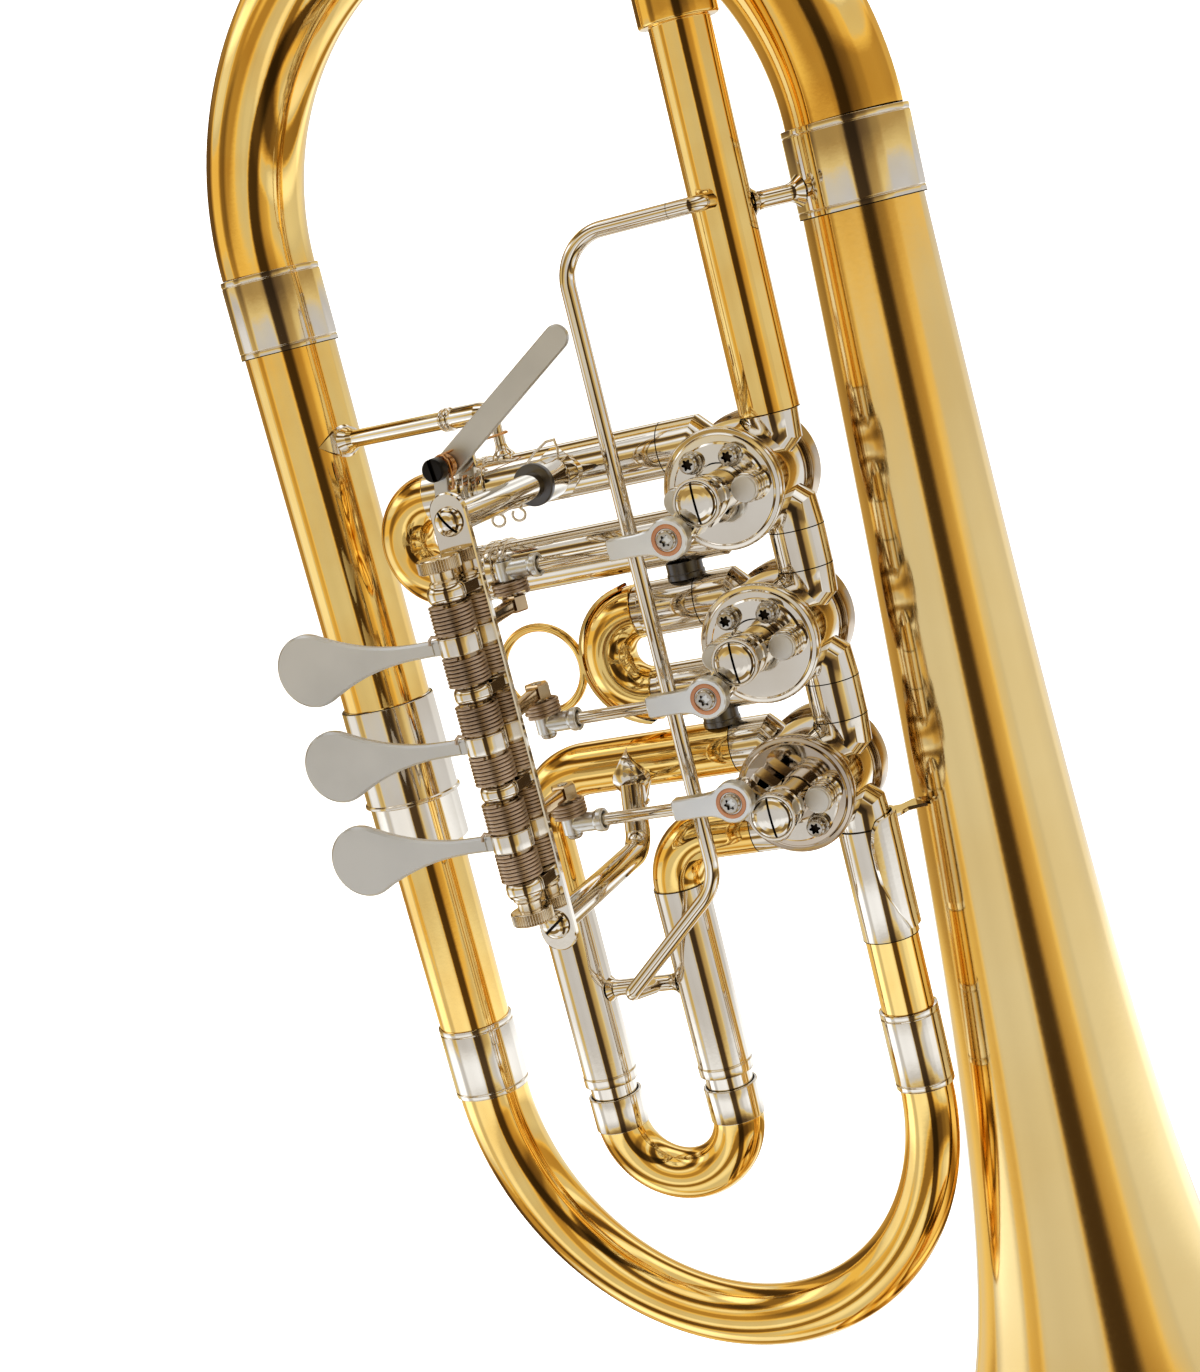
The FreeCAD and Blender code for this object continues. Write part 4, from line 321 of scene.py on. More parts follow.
def tube(bm, places, radius, end_radius=None, around=48, ease=0.12):
    """A round bar or closed tube along places in millimetres, its ends eased into a fine seam."""
    places = [Vector(place) for place in places]
    lengths = [0.0]
    for a, b in zip(places, places[1:]):
        lengths.append(lengths[-1] + (b - a).length)
    end_radius = radius if end_radius is None else end_radius
    radii = [radius + (end_radius - radius) * length / lengths[-1] for length in lengths]
    if ease:
        first = (places[1] - places[0]).normalized() * ease
        last = (places[-2] - places[-1]).normalized() * ease
        places = [places[0], places[0] + first] + places[1:-1] + [places[-1] + last, places[-1]]
        radii = [radius - ease, radius] + radii[1:-1] + [end_radius, end_radius - ease]
    ways = [(places[min(n + 1, len(places) - 1)] - places[max(n - 1, 0)]).normalized()
            for n in range(len(places))]
    side = ways[0].orthogonal().normalized()
    rings = []
    for n, (place, way, r) in enumerate(zip(places, ways, radii)):
        if n:
            side = ways[n - 1].rotation_difference(way) @ side
        side = (side - way * side.dot(way)).normalized()
        up = way.cross(side)
        fold = None
        if 0 < n < len(places) - 1:
            onward = (places[n + 1] - place).normalized()
            came = (place - places[n - 1]).normalized()
            bend = came.angle(onward)
            if bend > 0.3:
                fold = (onward - came).normalized()
        ring = []
        for k in range(around):
            angle = math.tau * k / around
            spoke = side * math.cos(angle) + up * math.sin(angle)
            if fold is not None:
                spoke = spoke + fold * spoke.dot(fold) * (1 / math.cos(bend / 2) - 1)
            ring.append(bm.verts.new((place + spoke * r) * MM))
        rings.append(ring)
    for a, b in zip(rings, rings[1:]):
        for k in range(around):
            m = (k + 1) % around
            bm.faces.new((a[k], a[m], b[m], b[k]))
    bm.faces.new(rings[0])
    bm.faces.new(list(reversed(rings[-1])))


def coil(bm, foot, axis, radius, wire, turns, length, start=0.0, around=10):
    """A coil spring whose wire's line starts at foot's height."""
    turn = turn_to(axis)
    steps = int(turns * 28)
    places = []
    for n in range(steps + 1):
        angle = start + math.tau * turns * n / steps
        local = Vector((radius * math.cos(angle), radius * math.sin(angle), length * n / steps))
        places.append(Vector(foot) + turn @ local)
    tube(bm, places, wire, around=around, ease=0)


def add_prism(bm, outline, depth, place, turn=TO_PLAYER, bevel=0.0, back_bevel=0.0):
    """A plate: an outline of (x, y) points in millimetres raised along the turned Z axis."""
    flat = [Vector((x, y)) for x, y in outline]
    count = len(flat)
    if sum(a.x * b.y - b.x * a.y for a, b in zip(flat, flat[1:] + flat[:1])) < 0:
        flat.reverse()

    def inset(amount):
        moved = []
        for i, here in enumerate(flat):
            a = (here - flat[i - 1]).normalized()
            b = (flat[(i + 1) % count] - here).normalized()
            normal = Vector((-a.y - b.y, a.x + b.x))
            if normal.length > 1e-6:
                normal = normal.normalized() / max(0.4, math.cos(a.angle(b) / 2))
            moved.append(here + normal * amount)
        return moved

    layers = [(inset(bevel), depth)] if bevel else []
    layers += [(flat, depth - bevel), (flat, back_bevel)]
    layers += [(inset(back_bevel), 0.0)] if back_bevel else []
    rings = [[bm.verts.new(turn @ at(p.x, p.y, z) + place) for p in points] for points, z in layers]
    bm.faces.new(rings[0])
    bm.faces.new(list(reversed(rings[-1])))
    for a, b in zip(rings, rings[1:]):
        for i in range(count):
            j = (i + 1) % count
            bm.faces.new((a[j], a[i], b[i], b[j]))


def arc(centre, radius, start, end, steps=24):
    """Points of an arc in a plane, its angles in degrees."""
    angles = [math.radians(start + (end - start) * n / steps) for n in range(steps + 1)]
    return [(centre[0] + radius * math.cos(a), centre[1] + radius * math.sin(a)) for a in angles]


def bar(bm, size, centre, turn=TO_PLAYER, ease=0.25, bevel=0.2):
    """A bar with eased corners: its size along the turned X, Y and Z axes, its centre in millimetres."""
    x, y = size[0] / 2, size[1] / 2
    outline = rounded([(-x, -y), (x, -y), (x, y), (-x, y)], ease, closed=True)
    place = at(*centre) - turn @ at(0, 0, size[2] / 2)
    add_prism(bm, outline, size[2], place, turn, bevel, bevel)


def seam(bm, x, y, z, radius, axis=(1, 0, 0)):
    """The fine dark line where two tubes meet."""
    lathe(bm, [(radius - 0.3, -0.1), (radius + 0.015, -0.1), (radius + 0.015, 0.1), (radius - 0.3, 0.1)],
          at(x, y, z), axis, around=72, ease=0)


def slotted(bm, radius, dome, place, axis, slot_angle, slot_width, slot_depth, foot=0.35):
    """A domed screw head with a slot, its flat side at place."""
    crown = [(radius * math.cos(math.radians(a)), foot + (dome - foot) * math.sin(math.radians(a)))
             for a in (15, 30, 45, 60, 75)]
    lathe(bm, [(0, -1.0), (radius, -1.0), (radius, foot)] + crown + [(0, dome)], place, axis, around=72,
          ease=0.05)
    x, y = radius * 1.2, slot_width / 2
    turn = turn_to(axis) @ Matrix.Rotation(math.radians(slot_angle), 3, "Z")
    carve(bm, [(-x, -y), (x, -y), (x, y), (-x, y)], dome + slot_depth,
          place + turn @ at(0, 0, dome - slot_depth), turn)


def strips(bm, rows):
    """Faces between each row of points and the next."""
    for a, b in zip(rows, rows[1:]):
        for k in range(len(a) - 1):
            bm.faces.new((a[k], a[k + 1], b[k + 1], b[k]))


def joined(bm, other):
    """Adds another mesh to this one."""
    mesh = bpy.data.meshes.new("joined")
    other.to_mesh(mesh)
    other.free()
    bm.from_mesh(mesh)
    bpy.data.meshes.remove(mesh)


STAR = []
for n in range(72):
    angle = math.tau * n / 72
    reach = 1.02 + 0.22 * math.cos(6 * angle)
    STAR.append((reach * math.cos(angle), reach * math.sin(angle)))


def saddle(bm, x, y, z, radius, azimuth, spread, half, thick=0.6):
    """A pointed leaf lying around an upright tube, under the foot of a brace."""
    rows = []
    for n in range(33):
        share = -1 + n / 16
        angle = math.radians(azimuth + spread * share)
        height = half * math.cos(share * math.pi / 2) + 0.02
        row = []
        for k in range(-6, 7):
            r = radius + (thick if abs(k) < 6 else -0.1)
            row.append(bm.verts.new(at(x + r * math.sin(angle), y - r * math.cos(angle), z + height * k / 6)))
        rows.append(row)
    strips(bm, rows)


# The valves: casings with their mitred ways, discs, caps, stop plates and bumpers

WAYS = ((-1, 1, True), (-1, -1, True), (1, 1, False), (1, -1, False))
for i in range(3):
    number = i + 1
    centre = Vector((VALVE_X, MID_Y, VALVE_Z[i]))
    face = at(VALVE_X, FACE_Y, VALVE_Z[i])
    bm = bmesh.new()
    lathe(bm, [(9.0, 2.0), (12.3, 2.0), (12.3, 3.2), (12.05, 3.35), (12.3, 3.5), (12.3, 18.2), (12.1, 18.35),
               (12.3, 18.5), (12.3, 20.2), (9.0, 20.2)], face, (0, 1, 0), around=128, ease=0.08)
    for side, rise, level in WAYS:
        end = (side * (WAY + KNUCKLE), 0, rise * WAY) if level else (side * WAY, 0, rise * (WAY + DROP))
        tube(bm, [centre + Vector(p) for p in (
            (side * WAY / 2, 0, rise * WAY / 2), (side * WAY, 0, rise * WAY), end)], TUBE, around=64)
    done("casing_%d_dressed" % number, bm, "nickel_silver", stands_for=["casing_%d" % number], sharp=28)

for n, z in enumerate(VALVE_Z):
    bm = bmesh.new()
    lathe(bm, [(3.0, 0.0), (11.1, 0.0), (11.5, 0.3), (12.3, 0.35), (12.64, 0.7), (12.64, 2.0), (3.0, 2.0)],
          at(VALVE_X, FACE_Y, z), (0, 1, 0), around=160, ease=0.12)
    # The third top plate takes the darker nickel, a painted dark reflection.
    done("top_plate_%d_dressed" % (n + 1), bm, "nickel_silver", stands_for=() if n else ["top_plates"],
         look=DARK_REFLECTION if n == 2 else None)

bm = bmesh.new()
for z in VALVE_Z:
    lathe(bm, [(11.0, 20.3), (12.9, 20.3), (13.2, 20.6), (13.2, 25.9), (12.6, 26.6), (9.3, 26.7), (8.5, 26.2),
               (0.0, 26.2)], at(VALVE_X, FACE_Y, z), (0, 1, 0), around=576, ease=0.12, ridges=64,
          ridge_depth=0.5, ridge_span=(20.9, 25.6))
done("back_caps_dressed", bm, "nickel_silver", stands_for=["back_caps"], look=DARK_NICKEL)

bm = bmesh.new()
for z, side in zip(VALVE_Z, PLATE_SIDE):
    outer = arc((0, 0), 9.75, 16.1, 163.9, 40)
    left = arc((-7.3, 0), 3.4, 127.5, 315.0, 24)
    inner = arc((0, 0), 5.45, 206.1, -26.1, 40)
    right_lobe = arc((7.3, 0), 3.4, 225.0, 412.5, 24)
    outline = [(x, y * side) for x, y in outer + left[1:] + inner[1:] + right_lobe[1:-1]]
    add_prism(bm, outline, 1.2, at(VALVE_X, FACE_Y, z), TO_PLAYER, 0.35)
done("stop_plates_dressed", bm, "nickel_silver", stands_for=["stop_plates"])

bm = bmesh.new()
for z, side in zip(VALVE_Z, PLATE_SIDE):
    for left in (-1, 1):
        foot = at(VALVE_X + 4.3 * left, FACE_Y, z + 6.6 * side)
        head = bmesh.new()
        lathe(head, [(0.0, 1.0), (2.35, 1.0), (2.35, 1.75), (2.15, 2.0), (1.95, 2.0), (1.95, 3.7), (1.6, 4.1),
                     (0.0, 4.25)], foot, (0, -1, 0), around=64, ease=0.1)
        carve(head, STAR, 2.0, foot + at(0, -3.2, 0), TO_PLAYER)
        joined(bm, head)
done("stop_screws_dressed", bm, "steel_screws", stands_for=["stop_screws"])

bm = bmesh.new()
ends = bmesh.new()
for z in VALVE_Z:
    for left in (-1, 1):
        place = at(VALVE_X + 7.3 * left, FACE_Y, z)
        lathe(bm, [(3.0, 0.8), (3.0, 2.0), (2.75, 2.15), (2.75, 2.4), (3.0, 2.55), (3.0, 3.6), (2.75, 3.75),
                   (2.75, 4.0), (3.0, 4.15), (3.0, 5.4), (2.7, 5.6), (2.6, 5.3)], place, (0, -1, 0),
              around=64, ease=0.08)
        lathe(ends, [(0.0, 5.0), (2.72, 5.0), (2.78, 5.4), (2.78, 6.7), (2.5, 7.0), (0.0, 7.0)], place,
              (0, -1, 0), around=64, ease=0.2)
done("bumper_shells", bm, "nickel_silver", stands_for=["bumpers"])
done("bumper_ends", ends, "bumper_gray")

# Stop arms: the waisted hub with its domed slotted screw, the finger and the crank

for i in range(3):
    number = i + 1
    body = "rotor_%d" % number
    face = at(VALVE_X, FACE_Y, VALVE_Z[i])
    crank_angle = 180 - CRANK_SIDE[i] * 42
    finger_angle = 180 - CRANK_SIDE[i] * 45
    bm = bmesh.new()
    lathe(bm, [(2.5, 0.5), (4.1, 0.5), (4.1, 7.4), (4.6, 7.5), (4.6, 9.6), (4.35, 9.8), (4.35, 10.3),
               (4.6, 10.5), (4.6, 12.6), (4.9, 12.8), (4.9, 15.0), (4.3, 15.0), (4.3, 14.5)], face,
          (0, -1, 0), ease=0.18)
    turn = TO_PLAYER @ Matrix.Rotation(math.radians(crank_angle), 3, "Z")
    add_prism(bm, [(0, -2.7), (8.0, -2.6), (8.0, 2.6), (0, 2.7)], 3.4, face + at(0, -10.8, 0), turn, 0.3, 0.3)
    boss = face + turn @ at(8.0, 0, 10.8)
    lathe(bm, [(0, 0), (3.0, 0), (3.0, 4.8), (0, 4.8)], boss, (0, -1, 0), ease=0.25, around=64)
    turn = TO_PLAYER @ Matrix.Rotation(math.radians(finger_angle), 3, "Z")
    outline = rounded([(0, -1.9), (8.9, -1.9), (8.9, 1.9), (0, 1.9)], 0.5, closed=True)
    add_prism(bm, outline, 4.8, face + at(0, -1.6, 0), turn, 0.3, 0.3)
    done("stop_arm_%d_dressed" % number, bm, "nickel_silver", body, ["stop_arm_%d" % number])
    bm = bmesh.new()
    slotted(bm, 4.22, 1.0, face + at(0, -14.75, 0), (0, -1, 0), 92, 0.5, 0.7, 0.25)
    done("hub_screw_%d" % number, bm, "nickel_silver", body)

# Links: eye with bushing and recessed screw, rod, and the cross socket on the lever's arm

for i in range(3):
    number = i + 1
    body = "link_%d" % number
    eye = at(EYE_X, LINK_Y, LINK_Z[i])
    end = at(LINK_END_X, LINK_Y, LINK_Z[i])
    bm = bmesh.new()
    shoulder = arc((0, 0), 4.2, -132, 132, 40)
    neck = []
    for sign in (1, -1):
        curve = []
        for n in range(1, 8):
            t = n / 8
            x = -2.81 * (1 - t) ** 2 - 3.9 * 2 * t * (1 - t) - 6.6 * t ** 2
            y = 3.12 * (1 - t) ** 2 + 2.2 * 2 * t * (1 - t) + 2.2 * t ** 2
            curve.append((x, sign * y))
        curve += [(-6.6, sign * 2.15), (-12.6, sign * 2.15), (-13.0, sign * 1.75)]
        neck.append(curve)
    outline = shoulder + neck[0] + list(reversed(neck[1]))
    add_prism(bm, outline, 3.2, eye + at(0, 1.6, 0), TO_PLAYER, 0.3, 0.3)
    lathe(bm, [(0, 0), (2.0, 0), (2.0, 5.5), (2.3, 5.9), (2.45, 6.4), (2.45, 7.4), (2.3, 7.6), (1.85, 7.6),
               (1.7, 7.2), (1.6, 6.2)], end, (1, 0, 0), ease=0.12, around=64)
    lathe(bm, [(1.35, -2.0), (2.15, -2.0), (2.15, 2.0), (1.35, 2.0)], end, ease=0.2, around=64)
    done("link_ends_%d_dressed" % number, bm, "link_aluminium", body, ["link_ends_%d" % number])
    bm = bmesh.new()
    tube(bm, [(LINK_END_X + 4.4, LINK_Y, LINK_Z[i]), (EYE_X - 11.0, LINK_Y, LINK_Z[i])], 1.3, around=48)
    done("link_rod_%d_dressed" % number, bm, "nickel_silver", body, ["link_rod_%d" % number])
    bm = bmesh.new()
    lathe(bm, [(1.6, -1.6), (3.2, -1.6), (3.2, 1.75), (2.35, 1.75), (2.2, 1.5), (1.6, 1.5)], eye, (0, -1, 0),
          ease=0.12, around=72)
    done("eye_bush_%d_dressed" % number, bm, "bushing_bronze", body, ["eye_bush_%d" % number])
    bm = bmesh.new()
    lathe(bm, [(0, -1.6), (1.5, -1.6), (1.5, 1.6), (2.05, 1.6), (2.05, 2.1), (1.7, 2.45), (0, 2.45)], eye,
          (0, -1, 0), ease=0.12, around=72)
    carve(bm, STAR, 2.0, eye + at(0, -1.55, 0), TO_PLAYER)
    done("eye_screw_%d_dressed" % number, bm, "steel_screws", body, ["eye_screw_%d" % number])

# Levers: paddles, hubs, arms with their nuts, and the cross screws with their springs

BULB = 7.3
NECK = 1.5
NECK_START = -9.0
PADDLE_REACH = 33.1
reach = PADDLE_REACH + NECK_START
hollow = (reach ** 2 + NECK ** 2 - BULB ** 2) / (2 * (BULB - NECK))
lean = math.degrees(math.atan2(NECK + hollow, reach))
touch = [(-4.8, NECK), (NECK_START, NECK)]
touch += arc((NECK_START, NECK + hollow), hollow, 270, 180 + lean, 30)[1:]
touch += arc((-PADDLE_REACH, 0), BULB, lean, 360 - lean, 56)[1:-1]
touch += arc((NECK_START, -NECK - hollow), hollow, 180 - lean, 90, 30)
touch += [(-4.8, -NECK)]

for i in range(3):
    number = i + 1
    body = "lever_%d" % number
    up = LINK_SIDE[i]
    hub = Vector((HINGE_X, HINGE_Y, LEVER_Z[i]))
    end_z = LINK_Z[i] - up * CROSS_DROP
    nut = Vector((LINK_END_X, LINK_Y, end_z))
    bm = bmesh.new()
    add_prism(bm, touch, 1.6, hub * MM, TO_PLAYER, 0.45, 0.1)
    bar(bm, (5.2, 3.0, 3.0), hub + Vector((-2.6, 0, 0)))
    done("lever_%d_dressed" % number, bm, "lever_steel", body, ["lever_%d" % number])
    bm = bmesh.new()
    rise = end_z - LEVER_Z[i]
    tilt = Matrix.Rotation(math.atan2(rise, 30.0), 3, "X")
    bar(bm, (2.2, 2.6, 28.6), hub + Vector((-1.85, 0, 0)) + tilt @ Vector((0, 15.0, 0)), tilt @ TO_PLAYER,
        0.4, 0.3)
    done("lever_arm_%d" % number, bm, "lever_steel", body, look=BRONZED)
    bm = bmesh.new()
    lathe(bm, [(1.65, -1.9), (4.1, -1.9), (4.1, 1.9), (1.65, 1.9)], hub * MM, ease=0.35, around=96)
    done("lever_hub_%d" % number, bm, "lever_steel", body, look=LOOKS["nickel_silver"])
    # Dark sleeves inside the springs: painted shade that darkens the gaps between the coils.
    bm = bmesh.new()
    for side in (1, -1):
        lathe(bm, [(1.65, 1.9), (3.3, 1.9), (3.3, 7.9), (1.65, 7.9)], hub * MM, (0, 0, side), ease=0.1)
    done("lever_sleeve_%d" % number, bm, "lever_steel", body, look=DARK_NICKEL)
    bm = bmesh.new()
    hexagon = arc((0, 0), 2.75, 0, 360, 6)[:-1]
    add_prism(bm, hexagon, 3.4, at(nut.x, nut.y, nut.z - 1.7), Matrix.Identity(3), 0.3, 0.3)
    done("lever_nut_%d" % number, bm, "lever_steel", body, look=BRONZED)
    axis = (0, 0, up)
    bm = bmesh.new()
    lathe(bm, [(0, -1.9), (1.0, -1.9), (1.25, -1.7), (1.25, 9.0), (1.65, 9.0), (1.65, 9.5), (1.2, 10.0),
               (0, 10.1)], nut * MM, axis, ease=0.12, around=56)
    done("cross_screw_%d_dressed" % number, bm, "steel_screws", body, ["cross_screw_%d" % number])
    bm = bmesh.new()
    coil(bm, nut + Vector(axis) * 2.1, axis, 3.4, 0.4, 3.6, 2.8, around=14)
    done("cross_spring_%d" % number, bm, "spring_steel", body)

# The lever carriage: hinge rod with knurled knobs, springs, plate with its lugs, screws and posts

bm = bmesh.new()
rod = at(HINGE_X, HINGE_Y, MIDDLE_Z)
lathe(bm, [(1.6, -32.0), (1.6, 32.0)], rod, ease=0, around=48)
done("hinge_rod_dressed", bm, "nickel_silver", stands_for=["hinge_rod"])
bm = bmesh.new()
for sign in (1, -1):
    lathe(bm, [(1.6, 31.2), (2.9, 31.4), (2.9, 32.0), (2.4, 32.4), (2.4, 34.0), (3.9, 34.1), (4.2, 34.3),
               (4.2, 36.5), (3.9, 36.8), (1.2, 36.8), (0.9, 36.5), (0, 36.5)], rod, (0, 0, sign), around=480,
          ease=0.1, ridges=48, ridge_depth=0.45, ridge_span=(34.35, 36.45))
done("hinge_knobs", bm, "nickel_silver", look=SATIN)

bm = bmesh.new()
for z in LEVER_Z:
    for low in (z + 2.3, z - 7.9):
        coil(bm, (HINGE_X, HINGE_Y, low), (0, 0, 1), 3.9, 0.33, 7.5, 5.6, start=math.radians(100), around=14)
    tube(bm, [(HINGE_X - 2.4, HINGE_Y - 3.1, z + 2.3), (HINGE_X - 4.3, HINGE_Y - 2.4, z + 2.5),
              (HINGE_X - 5.1, HINGE_Y - 2.1, z + 1.9), (HINGE_X - 5.3, HINGE_Y - 2.1, z + 0.9)], 0.3,
         around=12, ease=0)
done("return_springs_dressed", bm, "spring_steel", stands_for=["return_springs"])

bm = bmesh.new()
left_edge = []
for z in LEVER_Z[::-1]:
    left_edge += [(-74.1, z - 2.4), (-70.6, z - 2.4), (-70.6, z + 2.4), (-74.1, z + 2.4)]
top_end = arc((PLATE_X, 275.3), 3.8, 180, 0, 24)
low_end = arc((PLATE_X, 190.1), 3.8, 0, -180, 24)
outline = rounded([Vector(p) for p in left_edge], 0.6) + [Vector(p) for p in top_end + low_end]
add_prism(bm, outline, 1.5, at(0, PLATE_Y + 1.5, 0), TO_PLAYER, 0.25, 0.15)
for share in (1.5, 0.5, -0.5, -1.5):
    z = MIDDLE_Z + share * PITCH
    half, wide = (1.75, 3.75) if abs(share) > 1 else (1.6, 3.7)
    lathe(bm, [(1.6, -half), (wide - 0.5, -half), (wide, -0.8), (wide, 0.8), (wide - 0.5, half), (1.6, half)],
          at(HINGE_X, HINGE_Y, z), ease=0.4, around=96)
    bar(bm, (3.4, 2.2, 5.1), (HINGE_X + 1.7, HINGE_Y + 2.5, z))
done("lever_plate_dressed", bm, "nickel_silver", stands_for=["lever_plate"])

bm = bmesh.new()
slotted(bm, 2.9, 1.7, at(PLATE_X, PLATE_Y, SCREW_Z[0]), (0, -1, 0), 124, 0.55, 0.9)
done("plate_screws_dressed", bm, "nickel_silver", stands_for=["plate_screws"])
bm = bmesh.new()
slotted(bm, 2.9, 1.7, at(PLATE_X, PLATE_Y, SCREW_Z[1]), (0, -1, 0), 34, 0.55, 0.9)
done("plate_screw_lower", bm, "nickel_silver")


def leaf(bm, x, mid, top, low, half, skew=1.0, thick=0.8, swell=0.0, foot=0.0):
    """A pointed leaf on the front of a tube along X, from its top to its low end; it may widen to a foot."""
    rows = []
    for n in range(41):
        share = n / 40
        width = half * math.sin(math.pi * share ** skew) + foot * share ** 3 + 0.02
        height = top + (low - top) * share - mid
        angle = math.asin(max(-1.0, min(1.0, height / (TUBE + thick))))
        row = []
        for k in range(-8, 9):
            across = k / 8
            lift = thick * min(1.0, width) + swell * share ** 2 * (1 - across ** 2)
            r = TUBE + lift if abs(k) < 8 else TUBE - 0.1
            place = at(x + width * across, MID_Y - r * math.cos(angle), mid + r * math.sin(angle))
            row.append(bm.verts.new(place))
        rows.append(row)
    strips(bm, rows)


bm = bmesh.new()
lathe(bm, [(0, 0), (2.7, 0), (2.7, 38.0), (4.3, 38.1), (4.35, 38.4), (4.35, 46.4), (4.1, 47.4), (3.5, 49.2)],
      at(PLATE_X, PLATE_Y + 1.5, SCREW_Z[0]), (0, 1, 0), ease=0.3)
leaf(bm, PLATE_X, VALVE_Z[0] + WAY, 279.8, 267.6, 6.4)
tube(bm, route([(-70.0, -27.2, 205.5), (-70.4, -30.6, SCREW_Z[1]), (PLATE_X, PLATE_Y + 1.5, SCREW_Z[1])],
               [5.5]), 2.7, around=64)
lathe(bm, [(2.7, 0), (3.1, 0.2), (3.1, 0.8), (2.7, 1.0)], at(-70.1, -27.4, 200.6), ease=0.2)
leaf(bm, -70.9, VALVE_Z[2] + WAY, 213.6, 202.6, 3.7, skew=1.6, swell=3.4, foot=2.7)
done("plate_posts_dressed", bm, "nickel_silver", stands_for=["plate_posts"])
# The step's front ring is dark gray, painted shade on its face.
bm = bmesh.new()
lathe(bm, [(2.72, 37.4), (4.25, 37.4), (4.45, 37.6), (4.45, 38.9), (2.72, 38.9)],
      at(PLATE_X, PLATE_Y + 1.5, SCREW_Z[0]), (0, 1, 0), ease=0.15)
done("post_step", bm, "nickel_silver", look=SHADE_GRAY)
bm = bmesh.new()
for x, z in ((-86.2, 266.6), (-81.2, 267.0)):
    hook = [(x + 1.5 * math.cos(math.radians(a)), -25.0, z + 1.3 * math.sin(math.radians(a)))
            for a in range(60, -231, -15)]
    tube(bm, [(x + 1.2, -23.5, z + 3.0)] + hook, 0.3, around=12, ease=0)
tube(bm, [(-76.5, -25.4, 277.0), (-73.5, -26.0, 279.2), (-70.2, -26.4, 280.9), (-68.2, -26.6, 281.0),
          (-67.9, -26.6, 279.0), (-68.6, -26.2, 276.6)], 0.28, around=12, ease=0)
done("post_wires", bm, "spring_steel", look=LOOKS["nickel_silver"])

# Slides 1 and 2: sleeves with their collars, and the bows

bm = bmesh.new()
for i, sleeve in enumerate((60.3, 28.0)):
    for sign in (1, -1):
        z = VALVE_Z[i] + sign * WAY
        tube(bm, [(VALVE_X - WAY - KNUCKLE, MID_Y, z), (VALVE_X - sleeve, MID_Y, z)], TUBE, around=72)
        if i == 0:
            for n in (0, 1):
                lathe(bm, [(TUBE, 0), (6.57, 0), (6.57, 1.8), (TUBE, 1.8)],
                      at(VALVE_X - sleeve + n * 3.1, MID_Y, z), (1, 0, 0), ease=0.5, around=72)
done("slide_sleeves_dressed", bm, "nickel_silver", stands_for=["slide_sleeves"])

for i, (bow, leg) in enumerate(((70.8, 40.0), (29.8, 14.0))):
    number = i + 1
    body = "slide_%d" % number
    bow_x = VALVE_X - bow
    bm = bmesh.new()
    legs = bmesh.new()
    for sign in (1, -1):
        z = VALVE_Z[i] + sign * WAY
        tube(legs, [(bow_x, MID_Y, z), (bow_x + leg, MID_Y, z)], LEG, around=64)
        if i == 0:
            tube(legs, [(bow_x, MID_Y, z), (bow_x + 9.0, MID_Y, z)], 6.12, around=72)
    if i == 0:
        tube(legs, [(-95.4, -32.1, 270.0), (-95.4, -25.0, 270.0)], 1.0, around=32)
    top, low = VALVE_Z[i] + WAY, VALVE_Z[i] - WAY
    tube(bm, route([(bow_x, MID_Y, top), (bow_x - WAY, MID_Y, top), (bow_x - WAY, MID_Y, low),
                    (bow_x, MID_Y, low)], [WAY, WAY], 3), TUBE, around=72)
    done("slide_%d_crook" % number, bm, "brass", body, ["slide_%d_bow" % number])
    done("slide_%d_legs" % number, legs, "nickel_silver", body)

bm = bmesh.new()
ring_x = bow_x - WAY - TUBE - 9.6 - 0.35 - 0.95
circle = [(ring_x + 9.6 * math.cos(math.radians(a)), MID_Y, VALVE_Z[1] + 9.6 * math.sin(math.radians(a)))
          for a in range(0, 361, 4)]
tube(bm, circle, 0.95, around=24, ease=0)
rows = []
for n in range(41):
    angle = math.radians(100 + 160 * n / 40)
    row = []
    for side, lift in ((-2.6, -0.1), (-2.6, 0.5), (-2.3, 0.7), (2.3, 0.7), (2.6, 0.5), (2.6, -0.1)):
        r = WAY + TUBE + lift
        place = at(bow_x + r * math.cos(angle), MID_Y + side, VALVE_Z[1] + r * math.sin(angle))
        row.append(bm.verts.new(place))
    rows.append(row)
strips(bm, rows)
done("slide_2_ring_dressed", bm, "brass", "slide_2", ["slide_2_ring"])

# Slide 3: bends down from the valve, sleeves and the pull-out bow

near = VALVE_X - 36.2
far = VALVE_X - 65.1
start_x = VALVE_X - WAY - KNUCKLE
bm = bmesh.new()
top, low = VALVE_Z[2] + WAY, VALVE_Z[2] - WAY
for x, z, bend in ((far, top, 14.0), (near, low, 11.0)):
    tube(bm, route([(start_x, MID_Y, z), (x, MID_Y, z), (x, MID_Y, SLEEVE_TOP)], [bend], 3), TUBE, around=72)
done("slide_3_tubes_dressed", bm, "brass", stands_for=["slide_3_tubes"])
bm = bmesh.new()
for x in (near, far):
    lathe(bm, [(TUBE - 0.3, 135.0), (6.3, 135.0), (6.3, 137.2), (6.12, 137.5), (6.12, SLEEVE_TOP),
               (TUBE - 0.3, SLEEVE_TOP)], at(x, MID_Y, 0), ease=0.2, around=72)
done("slide_3_sleeves_dressed", bm, "nickel_silver", stands_for=["slide_3_sleeves"])
bm = bmesh.new()
legs = bmesh.new()
half = (near - far) / 2
tube(bm, route([(near, MID_Y, 125.0), (near, MID_Y, 125.0 - half), (far, MID_Y, 125.0 - half),
                (far, MID_Y, 125.0)], [half, half], 3), TUBE, around=72)
for x in (near, far):
    tube(legs, [(x, MID_Y, 125.0), (x, MID_Y, 177.0)], LEG, around=64)
    lathe(legs, [(TUBE, 124.0), (6.2, 124.0), (6.2, 132.0), (TUBE - 0.2, 132.0)], at(x, MID_Y, 0), ease=0.2)
done("slide_3_crook", bm, "brass", "slide_3", ["slide_3_bow"])
